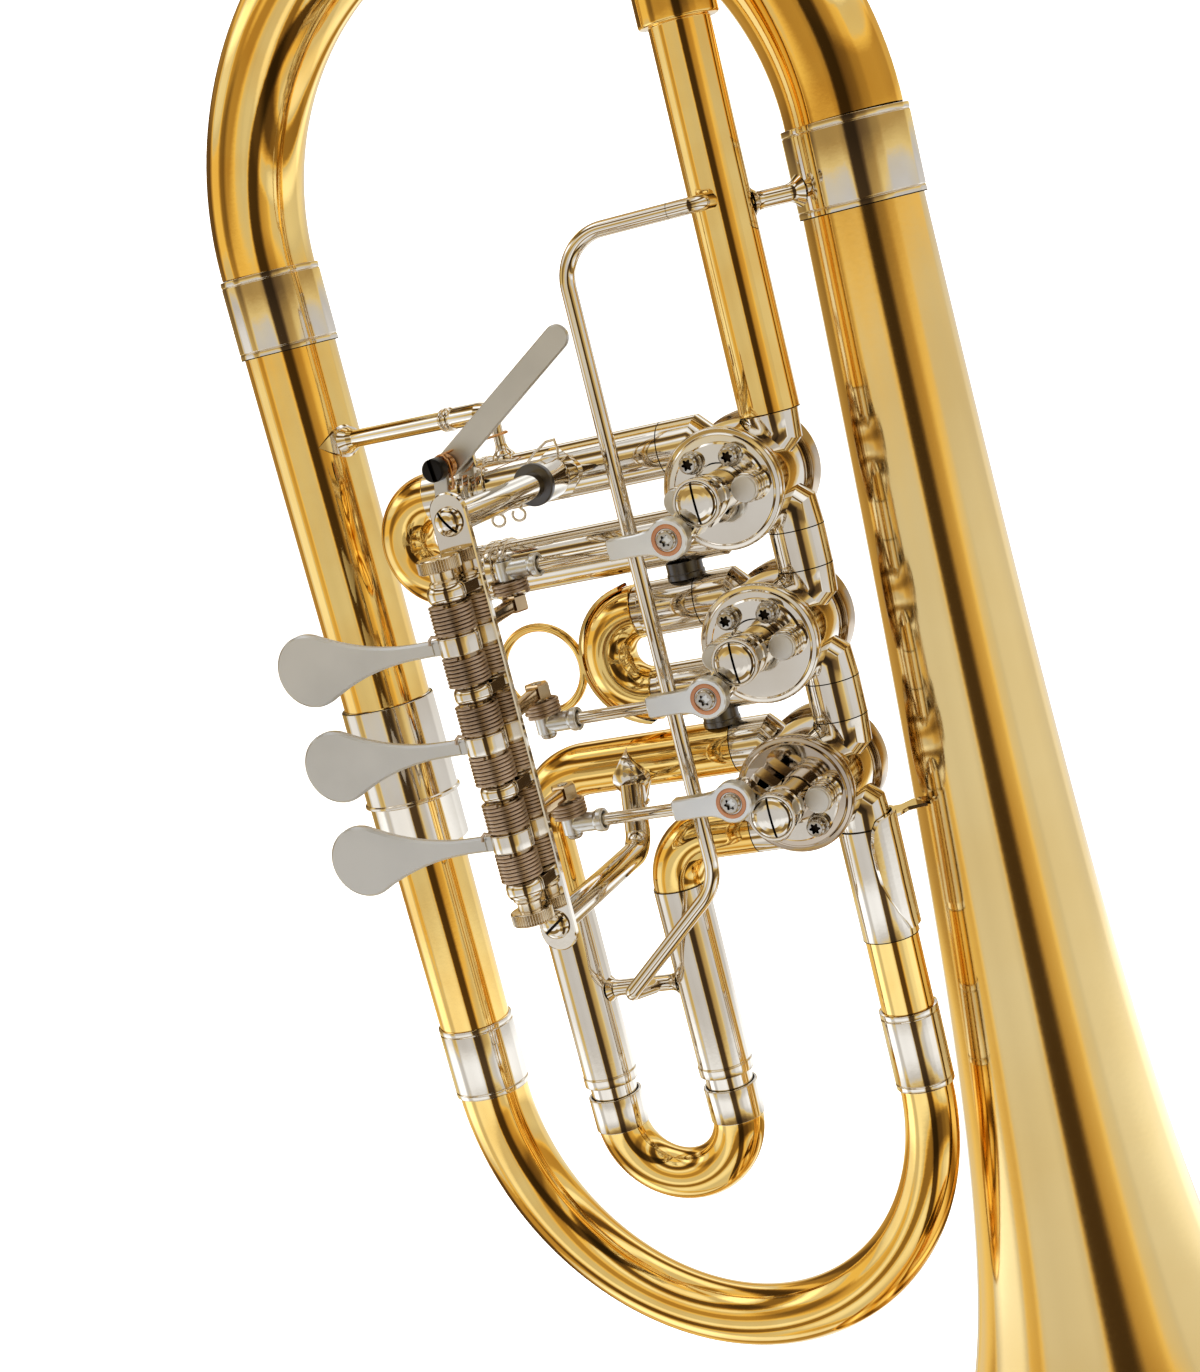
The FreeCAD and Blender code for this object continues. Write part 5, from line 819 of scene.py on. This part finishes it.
done("slide_3_legs", legs, "nickel_silver", "slide_3")

# Bell, bows and branches


def flare(height):
    """Outer radius of the bell at a height above its rim."""
    return 76.0 * (14.0 / (height - 1.6 + 14.0)) ** 0.57


bm = bmesh.new()
heights = [1.6 + (BRANCH_TOP - 1.6) * (n / 90) ** 2.2 for n in range(91)]
outer = [(flare(height), height) for height in heights]
inner = [(radius - 0.5, height) for radius, height in outer]
bead = [(75.75 + 1.6 * math.cos(math.radians(a)), 1.6 + 1.6 * math.sin(math.radians(a)))
        for a in range(70, -141, -15)]
lathe(bm, outer[::-1][:-1] + bead + inner[1:], at(0, 0, 0), around=256, ease=0)
done("bell_dressed", bm, "brass", stands_for=["bell"], look=SPUN_BRASS)

span = -TAIL_X / 2
bm = bmesh.new()
tube(bm, route([(0, 0, BRANCH_TOP), (0, 0, BRANCH_TOP + span), (TAIL_X, 0, BRANCH_TOP + span),
                (TAIL_X, 0, BRANCH_TOP)], [span, span], 2), flare(BRANCH_TOP), 10.7, around=96)
done("top_bow_dressed", bm, "brass", stands_for=["top_bow"])
bm = bmesh.new()
lathe(bm, [(10.2, 330.0), (10.7, 329.9), (10.2, 204.0), (9.0, 203.9), (8.5, 128.1), (8.0, 128.0)],
      at(TAIL_X, 0, 0), ease=0, around=128)
done("tail_branch_dressed", bm, "brass", stands_for=["tail_branch"])
bm = bmesh.new()
lathe(bm, [(10.2, 227.7), (10.65, 227.5), (11.1, 227.3), (11.1, 204.5), (11.6, 204.3), (11.6, 203.7),
           (11.1, 203.5), (10.65, 203.4), (10.65, 192.2), (10.3, 192.0), (8.9, 192.0)],
      at(TAIL_X, 0, 0), ease=0.1, around=128)
done("tail_sleeve_dressed", bm, "nickel_silver", stands_for=["tail_sleeve"])
bm = bmesh.new()
flat = math.hypot(TAIL_X - PIPE_X, MID_Y)
down = FRONT_Z - flat / 2
tube(bm, route([(PIPE_X, MID_Y, FRONT_Z), (PIPE_X, MID_Y, down), (TAIL_X, 0, down), (TAIL_X, 0, FRONT_Z)],
               [flat / 2, flat / 2], 2), TUBE, 8.5, around=96)
tube(bm, [(PIPE_X, MID_Y, FRONT_Z), (PIPE_X, MID_Y, OUTLET_SLEEVE[1])], TUBE, around=72)
done("front_bow_dressed", bm, "brass", stands_for=["front_bow"])
bm = bmesh.new()
low, high = OUTLET_SLEEVE
lathe(bm, [(TUBE, low), (6.17, low), (6.17, high), (TUBE, high)], at(PIPE_X, MID_Y, 0), ease=0.12)
done("outlet_sleeve_dressed", bm, "nickel_silver", stands_for=["outlet_sleeve"])
bm = bmesh.new()
for radius, x, y, low in ((flare(BOW_FERRULE_LOW), 0, 0, BOW_FERRULE_LOW),
                          (10.7, TAIL_X, 0, BOW_FERRULE_LOW), (8.5, TAIL_X, 0, FRONT_Z),
                          (TUBE, PIPE_X, MID_Y, FRONT_Z)):
    wide = radius + 0.65
    waist = radius + 0.45
    lathe(bm, [(radius, low), (wide, low + 0.1), (wide, low + 1.2), (waist, low + 1.4), (wide, low + 1.6),
               (wide, low + 16.4), (waist, low + 16.6), (wide, low + 16.8), (wide, low + 17.9),
               (radius, low + 18.0)], at(x, y, 0), ease=0.08, around=96)
done("bow_ferrules_dressed", bm, "nickel_silver", stands_for=["bow_ferrules"])
bm = bmesh.new()
for low, high in VALVE_TUBES:
    tube(bm, [(PIPE_X, MID_Y, low), (PIPE_X, MID_Y, high)], TUBE, around=72)
done("valve_links_dressed", bm, "nickel_silver", stands_for=["valve_links"])

# Mouthpipe and receiver

bm = bmesh.new()
lathe(bm, [(5.7, 276.6), (6.3, 276.7), (6.3, 354.9), (8.0, 355.0), (8.2, 355.4), (8.2, 361.6), (8.0, 362.0),
           (5.7, 362.0)], at(PIPE_X, MID_Y, 0), ease=0.2)
done("mouthpipe_dressed", bm, "brass", stands_for=["mouthpipe"])
bm = bmesh.new()
lathe(bm, [(4.3, 300.0), (5.6, 300.0), (5.6, 411.8), (6.3, 415.0), (6.3, 417.0), (6.5, 420.0),
           (7.0, 445.0), (7.8, 445.2), (7.8, 447.8), (7.5, 448.0), (5.3, 448.0), (5.02, 447.6),
           (5.02, 426.0), (4.3, 425.5)], at(PIPE_X, MID_Y, 0), ease=0.3)
done("receiver_pipe_dressed", bm, "nickel_silver", "mouthpipe_slide", ["receiver_pipe"])

# Braces and guard rod

bm = bmesh.new()
guard_x = VALVE_X - 21.8
foot_x = VALVE_X - 48.0
tube(bm, route([(PIPE_X - 6.0, FACE_Y, 320.0), (guard_x, FACE_Y, 320.0), (guard_x, FACE_Y, 182.6),
                (foot_x, FACE_Y, 160.0), (foot_x, MID_Y - 1.5, 157.0)], [10.0, 12.0, 1.65]), 1.65, around=40)
tube(bm, route([(PIPE_X - 6.5, FACE_Y, 320.0), (PIPE_X, FACE_Y, 320.0), (PIPE_X, MID_Y - 6.2, 320.0)], [3.0]),
     1.65, around=40)
done("guard_rod_dressed", bm, "nickel_silver", stands_for=["guard_rod"])

# Braces: spacers, tail brace, strut and web to the bell, slide 3's cross brace, and the outlet's leaf

bm = bmesh.new()
for low in (246.9, 214.4):
    lathe(bm, [(0, low - 0.5), (4.1, low - 0.5), (4.1, low + 0.7), (3.9, low + 0.8), (3.9, low + 3.2),
               (0, low + 3.2)], at(-49.2, MID_Y, 0), ease=0.15)
# The spacers are dark gray, painted shade between the slide tubes.
done("spacers", bm, "nickel_silver", stands_for=["braces"], look=SHADE_GRAY)

bm = bmesh.new()
lathe(bm, [(0, 0.0), (3.2, 0.2), (2.9, 1.0), (2.3, 2.2), (2.0, 4.0), (2.0, 33.6), (2.5, 33.8), (2.65, 34.2),
           (2.5, 34.6), (2.1, 34.8), (2.1, 35.1), (2.5, 35.3), (2.65, 35.7), (2.5, 36.1), (2.1, 36.4),
           (2.35, 37.6), (2.35, 45.0), (2.0, 47.0), (1.3, 48.7), (0, 49.0)],
      at(-129.89, -3.45, 289.3), (0.9435, -0.3314, 0), ease=0.25)
saddle(bm, TAIL_X, 0, 289.3, 10.5, 70.6, 38.0, 3.8)
lathe(bm, [(0, -0.3), (2.7, -0.3), (2.4, 0.7), (1.5, 1.7), (1.2, 2.7), (1.2, 9.8), (0, 10.2)],
      at(-83.9, MID_Y, 279.1), ease=0.3, around=64)
lathe(bm, [(3.4, 6.0), (2.2, 7.2), (1.85, 8.4), (1.85, 14.6), (2.2, 15.6), (3.4, 17.0)],
      at(PIPE_X, MID_Y, 318.0), TOWARD_BELL, ease=0.4)
web = [(0, -3.6), (7.0, -3.6), (9.6, -2.0), (13.4, -3.4), (13.4, 3.4), (9.6, 2.0), (7.0, 3.6), (0, 3.6)]
web_turn = Matrix.Rotation(math.atan2(TOWARD_BELL[1], TOWARD_BELL[0]), 3, "Z")
add_prism(bm, web, 0.9, at(PIPE_X, MID_Y, 187.8), web_turn, 0.2, 0.2)
lathe(bm, [(3.1, 5.8), (2.1, 6.9), (1.85, 8.0), (1.85, 20.9), (2.1, 22.0), (3.1, 23.1)],
      at(-97.1, MID_Y, 157.0), (1, 0, 0), ease=0.4)
lathe(bm, [(1.1, 0), (1.9, 0), (1.9, 1.2), (1.1, 1.2)], at(TRIGGER_X, -24.8, TRIGGER_Z), (0, 1, 0), ease=0.15)
bar(bm, (5.4, 4.8, 1.2), (-91.0, -24.2, 279.3))
done("brace_rods", bm, "nickel_silver")

LEAF_EDGE = ((189.5, 68), (189.1, 40), (187.2, 26), (184.8, 20), (182.6, 18), (179.2, 18), (175.8, 20),
             (172.4, 28), (168.8, 39), (166.3, 50), (164.4, 58))
bm = bmesh.new()
rows = []
for z, left in LEAF_EDGE:
    right = 262 - left
    row = []
    for k in range(41):
        angle = math.radians(left + (right - left) * k / 40)
        r = 6.95 if 0 < k < 40 else 6.1
        row.append(bm.verts.new(at(PIPE_X + r * math.sin(angle), MID_Y - r * math.cos(angle), z)))
    rows.append(row)
strips(bm, rows)
LIP_SHARE = 0.12
outlet_line = at(PIPE_X, MID_Y, 0)
lips = []
for row in (rows[0], rows[-1]):
    lip = []
    for corner in row:
        flat_place = Vector((corner.co.x, corner.co.y, 0))
        inward = (outlet_line - flat_place) * LIP_SHARE
        lip.append(bm.verts.new(flat_place + inward + Vector((0, 0, corner.co.z))))
    lips.append(lip)
for lip, row in zip(lips, (rows[0], rows[-1])):
    strips(bm, [lip, row])
done("outlet_leaf", bm, "nickel_silver")

# The sprung trigger of slide 1: strip, forked arm, barrel, black screw and wire spring

pivot = Vector((TRIGGER_X, FACE_Y, TRIGGER_Z))
bm = bmesh.new()
strip = arc((0, 0), 2.7, 90, 270, 20) + arc((38.0, 0), 2.7, -90, 90, 20)
strip_turn = TO_PLAYER @ Matrix.Rotation(math.radians(33), 3, "Z")
add_prism(bm, strip, 1.1, at(TRIGGER_X, -26.5, TRIGGER_Z), strip_turn, 0.3, 0.2)
fork = [(0, -1.6), (8.6, -1.6), (8.8, -2.5), (14.0, -2.5), (14.0, -1.35), (9.3, -1.35), (9.3, 1.35),
        (14.0, 1.35), (14.0, 2.5), (8.8, 2.5), (8.6, 1.6), (0, 1.6)]
fork_turn = TO_PLAYER @ Matrix.Rotation(math.radians(-99.64), 3, "Z")
add_prism(bm, fork, 1.4, at(TRIGGER_X, -30.2, TRIGGER_Z), fork_turn, 0.15, 0.15)
done("trigger_lever_dressed", bm, "lever_steel", "trigger", ["trigger_lever"])
bm = bmesh.new()
lathe(bm, [(1.15, 1.4), (1.9, 1.4), (1.9, 8.0), (1.15, 8.0)], pivot * MM, (0, 1, 0), ease=0.2, around=64)
done("trigger_barrel", bm, "lever_steel", "trigger", look=COPPER)
bm = bmesh.new()
lathe(bm, [(0, -1.2), (2.5, -1.2), (2.5, 1.5), (2.2, 1.8), (0, 1.8)], pivot * MM, (0, -1, 0), ease=0.12,
      around=72)
slot = [(-3.0, -0.5), (3.0, -0.5), (3.0, 0.5), (-3.0, 0.5)]
slot_turn = TO_PLAYER @ Matrix.Rotation(math.radians(95), 3, "Z")
carve(bm, slot, 2.0, (pivot + Vector((0, -0.7, 0))) * MM, slot_turn)
done("trigger_screw_dressed", bm, "black_screw", stands_for=["trigger_screw"])
bm = bmesh.new()
coil(bm, pivot + Vector((0, 3.3, 0)), (0, 1, 0), 2.5, 0.28, 3.0, 1.8, start=math.radians(-90), around=12)
tube(bm, [(-93.6, -28.0, 283.1), (-89.7, -27.0, 283.8), (-82.4, -21.6, 284.2), (-81.7, -19.8, 284.3),
          (-82.6, -18.3, 284.3), (-84.0, -18.0, 284.3)], 0.28, around=12, ease=0)
tube(bm, [(-93.4, -29.6, 283.1), (-92.0, -30.6, 283.0), (-91.3, -31.0, 281.6), (-91.3, -31.0, 277.4),
          (-91.7, -31.0, 275.9), (-92.5, -30.8, 275.8), (-92.9, -30.6, 276.6)], 0.32, around=12, ease=0)
done("trigger_spring_dressed", bm, "spring_steel", stands_for=["trigger_spring"], look=COPPER)

# The fine dark seams where tubes meet

bm = bmesh.new()
for z in VALVE_Z:
    for sign in (1, -1):
        seam(bm, VALVE_X - WAY - KNUCKLE, MID_Y, z + sign * WAY, TUBE)
for ends in VALVE_TUBES:
    for z in ends:
        seam(bm, PIPE_X, MID_Y, z, TUBE, (0, 0, 1))
seam(bm, PIPE_X, MID_Y, 276.7, 6.3, (0, 0, 1))
for z in reversed(OUTLET_SLEEVE):
    seam(bm, PIPE_X, MID_Y, z, 6.17, (0, 0, 1))
for x in (near, far):
    seam(bm, x, MID_Y, 179.4, 6.12, (0, 0, 1))
seam(bm, TAIL_X, 0, 227.4, 10.95, (0, 0, 1))
for x, radius in ((0, flare(BOW_FERRULE_LOW) + 0.65), (TAIL_X, 11.35)):
    seam(bm, x, 0, 312.1, radius, (0, 0, 1))
done("seams", bm, "nickel_silver", look=RECESS_SHADE_AND_SEAM)

# Camera

CAMERA_PLACE = (128.2, -447.7, 310.1)
CAMERA_RIGHT = Vector((0.90621, 0.34996, -0.23732))
CAMERA_AHEAD = Vector((-0.39824, 0.89502, -0.20086))
FOCAL_PIXELS = 2209.12
FRAME_WIDTH = 1200
FRAME_HEIGHT = 1372
CENTRE_PIXEL = (667.49, 731.40)
SENSOR_WIDTH = 36.0

camera_data = bpy.data.cameras.new("view")
camera_data.sensor_fit = "HORIZONTAL"
camera_data.sensor_width = SENSOR_WIDTH
camera_data.lens = FOCAL_PIXELS / FRAME_WIDTH * SENSOR_WIDTH
camera_data.shift_x = (FRAME_WIDTH / 2 - CENTRE_PIXEL[0]) / FRAME_WIDTH
camera_data.shift_y = (CENTRE_PIXEL[1] - FRAME_HEIGHT / 2) / FRAME_WIDTH
camera_data.clip_start = 0.01
camera = bpy.data.objects.new("view", camera_data)
bpy.context.collection.objects.link(camera)
ahead = CAMERA_AHEAD.normalized()
right = (CAMERA_RIGHT - ahead * CAMERA_RIGHT.dot(ahead)).normalized()
above = right.cross(ahead)
camera.matrix_world = Matrix.Translation(at(*CAMERA_PLACE)) @ Matrix((
    (right.x, above.x, -ahead.x), (right.y, above.y, -ahead.y), (right.z, above.z, -ahead.z))).to_4x4()
bpy.context.scene.camera = camera
bpy.context.scene.view_settings.view_transform = "Standard"

# A pale studio: white floor and dome for the eye, and a room of bright and dark screens that only
# the polished metal mirrors. Shares of the room's brightness go by the compass direction in degrees,
# 0 at -Y, and by the height; where they are dim the light is tinted by the brass around.

PEAK = 1.7
ROOM = ((-180, 0.75), (-150, 0.75), (-140, 0.3), (-125, 0.3), (-104, 0.25), (-90, 0.95), (-68, 0.95),
        (-60, 0.4), (-50, 0.35), (-42, 0.62), (-24, 0.6), (0, 0.64), (8, 0.55), (13, 0.06), (30, 0.05),
        (38, 0.3), (52, 0.36), (60, 0.5), (72, 0.55), (78, 0.66), (110, 0.68), (142, 0.62), (150, 0.8),
        (180, 0.75))
HEIGHTS = ((-90, 0.5), (-60, 0.6), (-50, 0.9), (-43, 0.9), (-36, 0.2), (-28, 0.2), (-22, 1.0), (-18, 1.0),
           (-15, 0.62), (-7, 0.62), (0, 0.5), (5, 0.28), (14, 0.28), (18, 0.47), (24, 0.5), (27, 0.95),
           (31, 0.95), (34, 0.35), (39, 0.12), (47, 0.12), (51, 0.5), (55, 1.0), (63, 1.0), (70, 0.45),
           (90, 0.5))
TINTS = ((0.0, (0.012, 0.008, 0.005)), (0.14, (0.13, 0.075, 0.03)), (0.32, (0.50, 0.32, 0.10)),
         (0.47, (0.88, 0.66, 0.26)), (0.54, (0.70, 0.64, 0.52)), (0.62, (0.64, 0.62, 0.60)),
         (0.85, (0.9, 0.89, 0.87)), (1.0, (1.0, 1.0, 1.0)), (PEAK, (PEAK, PEAK, PEAK)))

world = bpy.data.worlds.new("studio")
bpy.context.scene.world = world
world.use_nodes = True
tree = world.node_tree
where = add_node(tree, "ShaderNodeTexCoord")
parts = add_node(tree, "ShaderNodeSeparateXYZ")
tree.links.new(where.outputs["Generated"], parts.inputs["Vector"])


def ramp_of(stops_wanted, value):
    """A colour ramp over a value from 0 to 1."""
    ramp = add_node(tree, "ShaderNodeValToRGB")
    stops = ramp.color_ramp.elements
    while len(stops) > 1:
        stops.remove(stops[-1])
    for n, (place, color) in enumerate(stops_wanted):
        stop = stops[0] if n == 0 else stops.new(place)
        stop.position = place
        stop.color = (*color, 1.0)
    tree.links.new(value, ramp.inputs["Fac"])
    return ramp.outputs["Color"]


def shades(table, low, high, value):
    """A ramp of grey shades over a value that is given in degrees."""
    share = add_node(tree, "ShaderNodeMapRange", in_From_Min=low, in_From_Max=high)
    tree.links.new(value, share.inputs["Value"])
    wanted = [((angle - low) / (high - low), (shade, shade, shade)) for angle, shade in table]
    return ramp_of(wanted, share.outputs["Result"])


def math_node(operation, first, second=None):
    node = add_node(tree, "ShaderNodeMath", operation=operation)
    for socket, value in zip(node.inputs, (first, second)):
        if isinstance(value, float):
            socket.default_value = value
        elif value is not None:
            tree.links.new(value, socket)
    return node.outputs["Value"]


front = math_node("MULTIPLY", parts.outputs["Y"], -1.0)
compass = math_node("DEGREES", math_node("ARCTAN2", parts.outputs["X"], front))
height = math_node("DEGREES", math_node("ARCSINE", parts.outputs["Z"]))
level = math_node("MULTIPLY", shades(ROOM, -180, 180, compass), shades(HEIGHTS, -90, 90, height))
tinted = ramp_of([(radiance / PEAK, tuple(part / PEAK for part in tint)) for radiance, tint in TINTS], level)
tree.links.new(tinted, tree.nodes["Background"].inputs["Color"])
tree.nodes["Background"].inputs["Strength"].default_value = PEAK


def staged(name, bm, color, strength=0.0):
    """A surface of the studio; with a strength it glows."""
    mesh = bpy.data.meshes.new(name)
    bm.to_mesh(mesh)
    bm.free()
    look, _, shader = new_material(name)
    shader.inputs["Base Color"].default_value = (*color, 1.0)
    shader.inputs["Roughness"].default_value = 0.8
    shader.inputs["Emission Color"].default_value = (*color, 1.0)
    shader.inputs["Emission Strength"].default_value = strength
    mesh.materials.append(look)
    surface = bpy.data.objects.new(name, mesh)
    bpy.context.collection.objects.link(surface)
    surface.visible_glossy = False
    return surface


bm = bmesh.new()
bmesh.ops.create_circle(bm, cap_ends=True, segments=96, radius=6.0)
staged("floor", bm, (0.94, 0.94, 0.94), 0.9)
bm = bmesh.new()
bmesh.ops.create_uvsphere(bm, u_segments=64, v_segments=32, radius=6.5)
dome = staged("dome", bm, (1.0, 1.0, 1.0), 1.0)
dome.visible_diffuse = False
dome.visible_shadow = False


def soft_light(name, place, aim, width, height, power):
    """A large soft light that looks at a point."""
    data = bpy.data.lights.new(name, "AREA")
    data.shape = "RECTANGLE"
    data.size = width
    data.size_y = height
    data.energy = power
    lamp = bpy.data.objects.new(name, data)
    bpy.context.collection.objects.link(lamp)
    lamp.location = place
    lamp.rotation_euler = (Vector(aim) - Vector(place)).to_track_quat("-Z", "Y").to_euler()
    lamp.visible_glossy = False
    return lamp


HORN = (-0.05, -0.03, 0.22)
soft_light("overhead", (0.0, -0.3, 2.2), HORN, 2.4, 2.4, 45.0)
soft_light("left", (-1.6, -1.2, 0.9), HORN, 1.2, 1.6, 12.0)
soft_light("right", (1.6, -1.0, 0.8), HORN, 1.2, 1.6, 12.0)
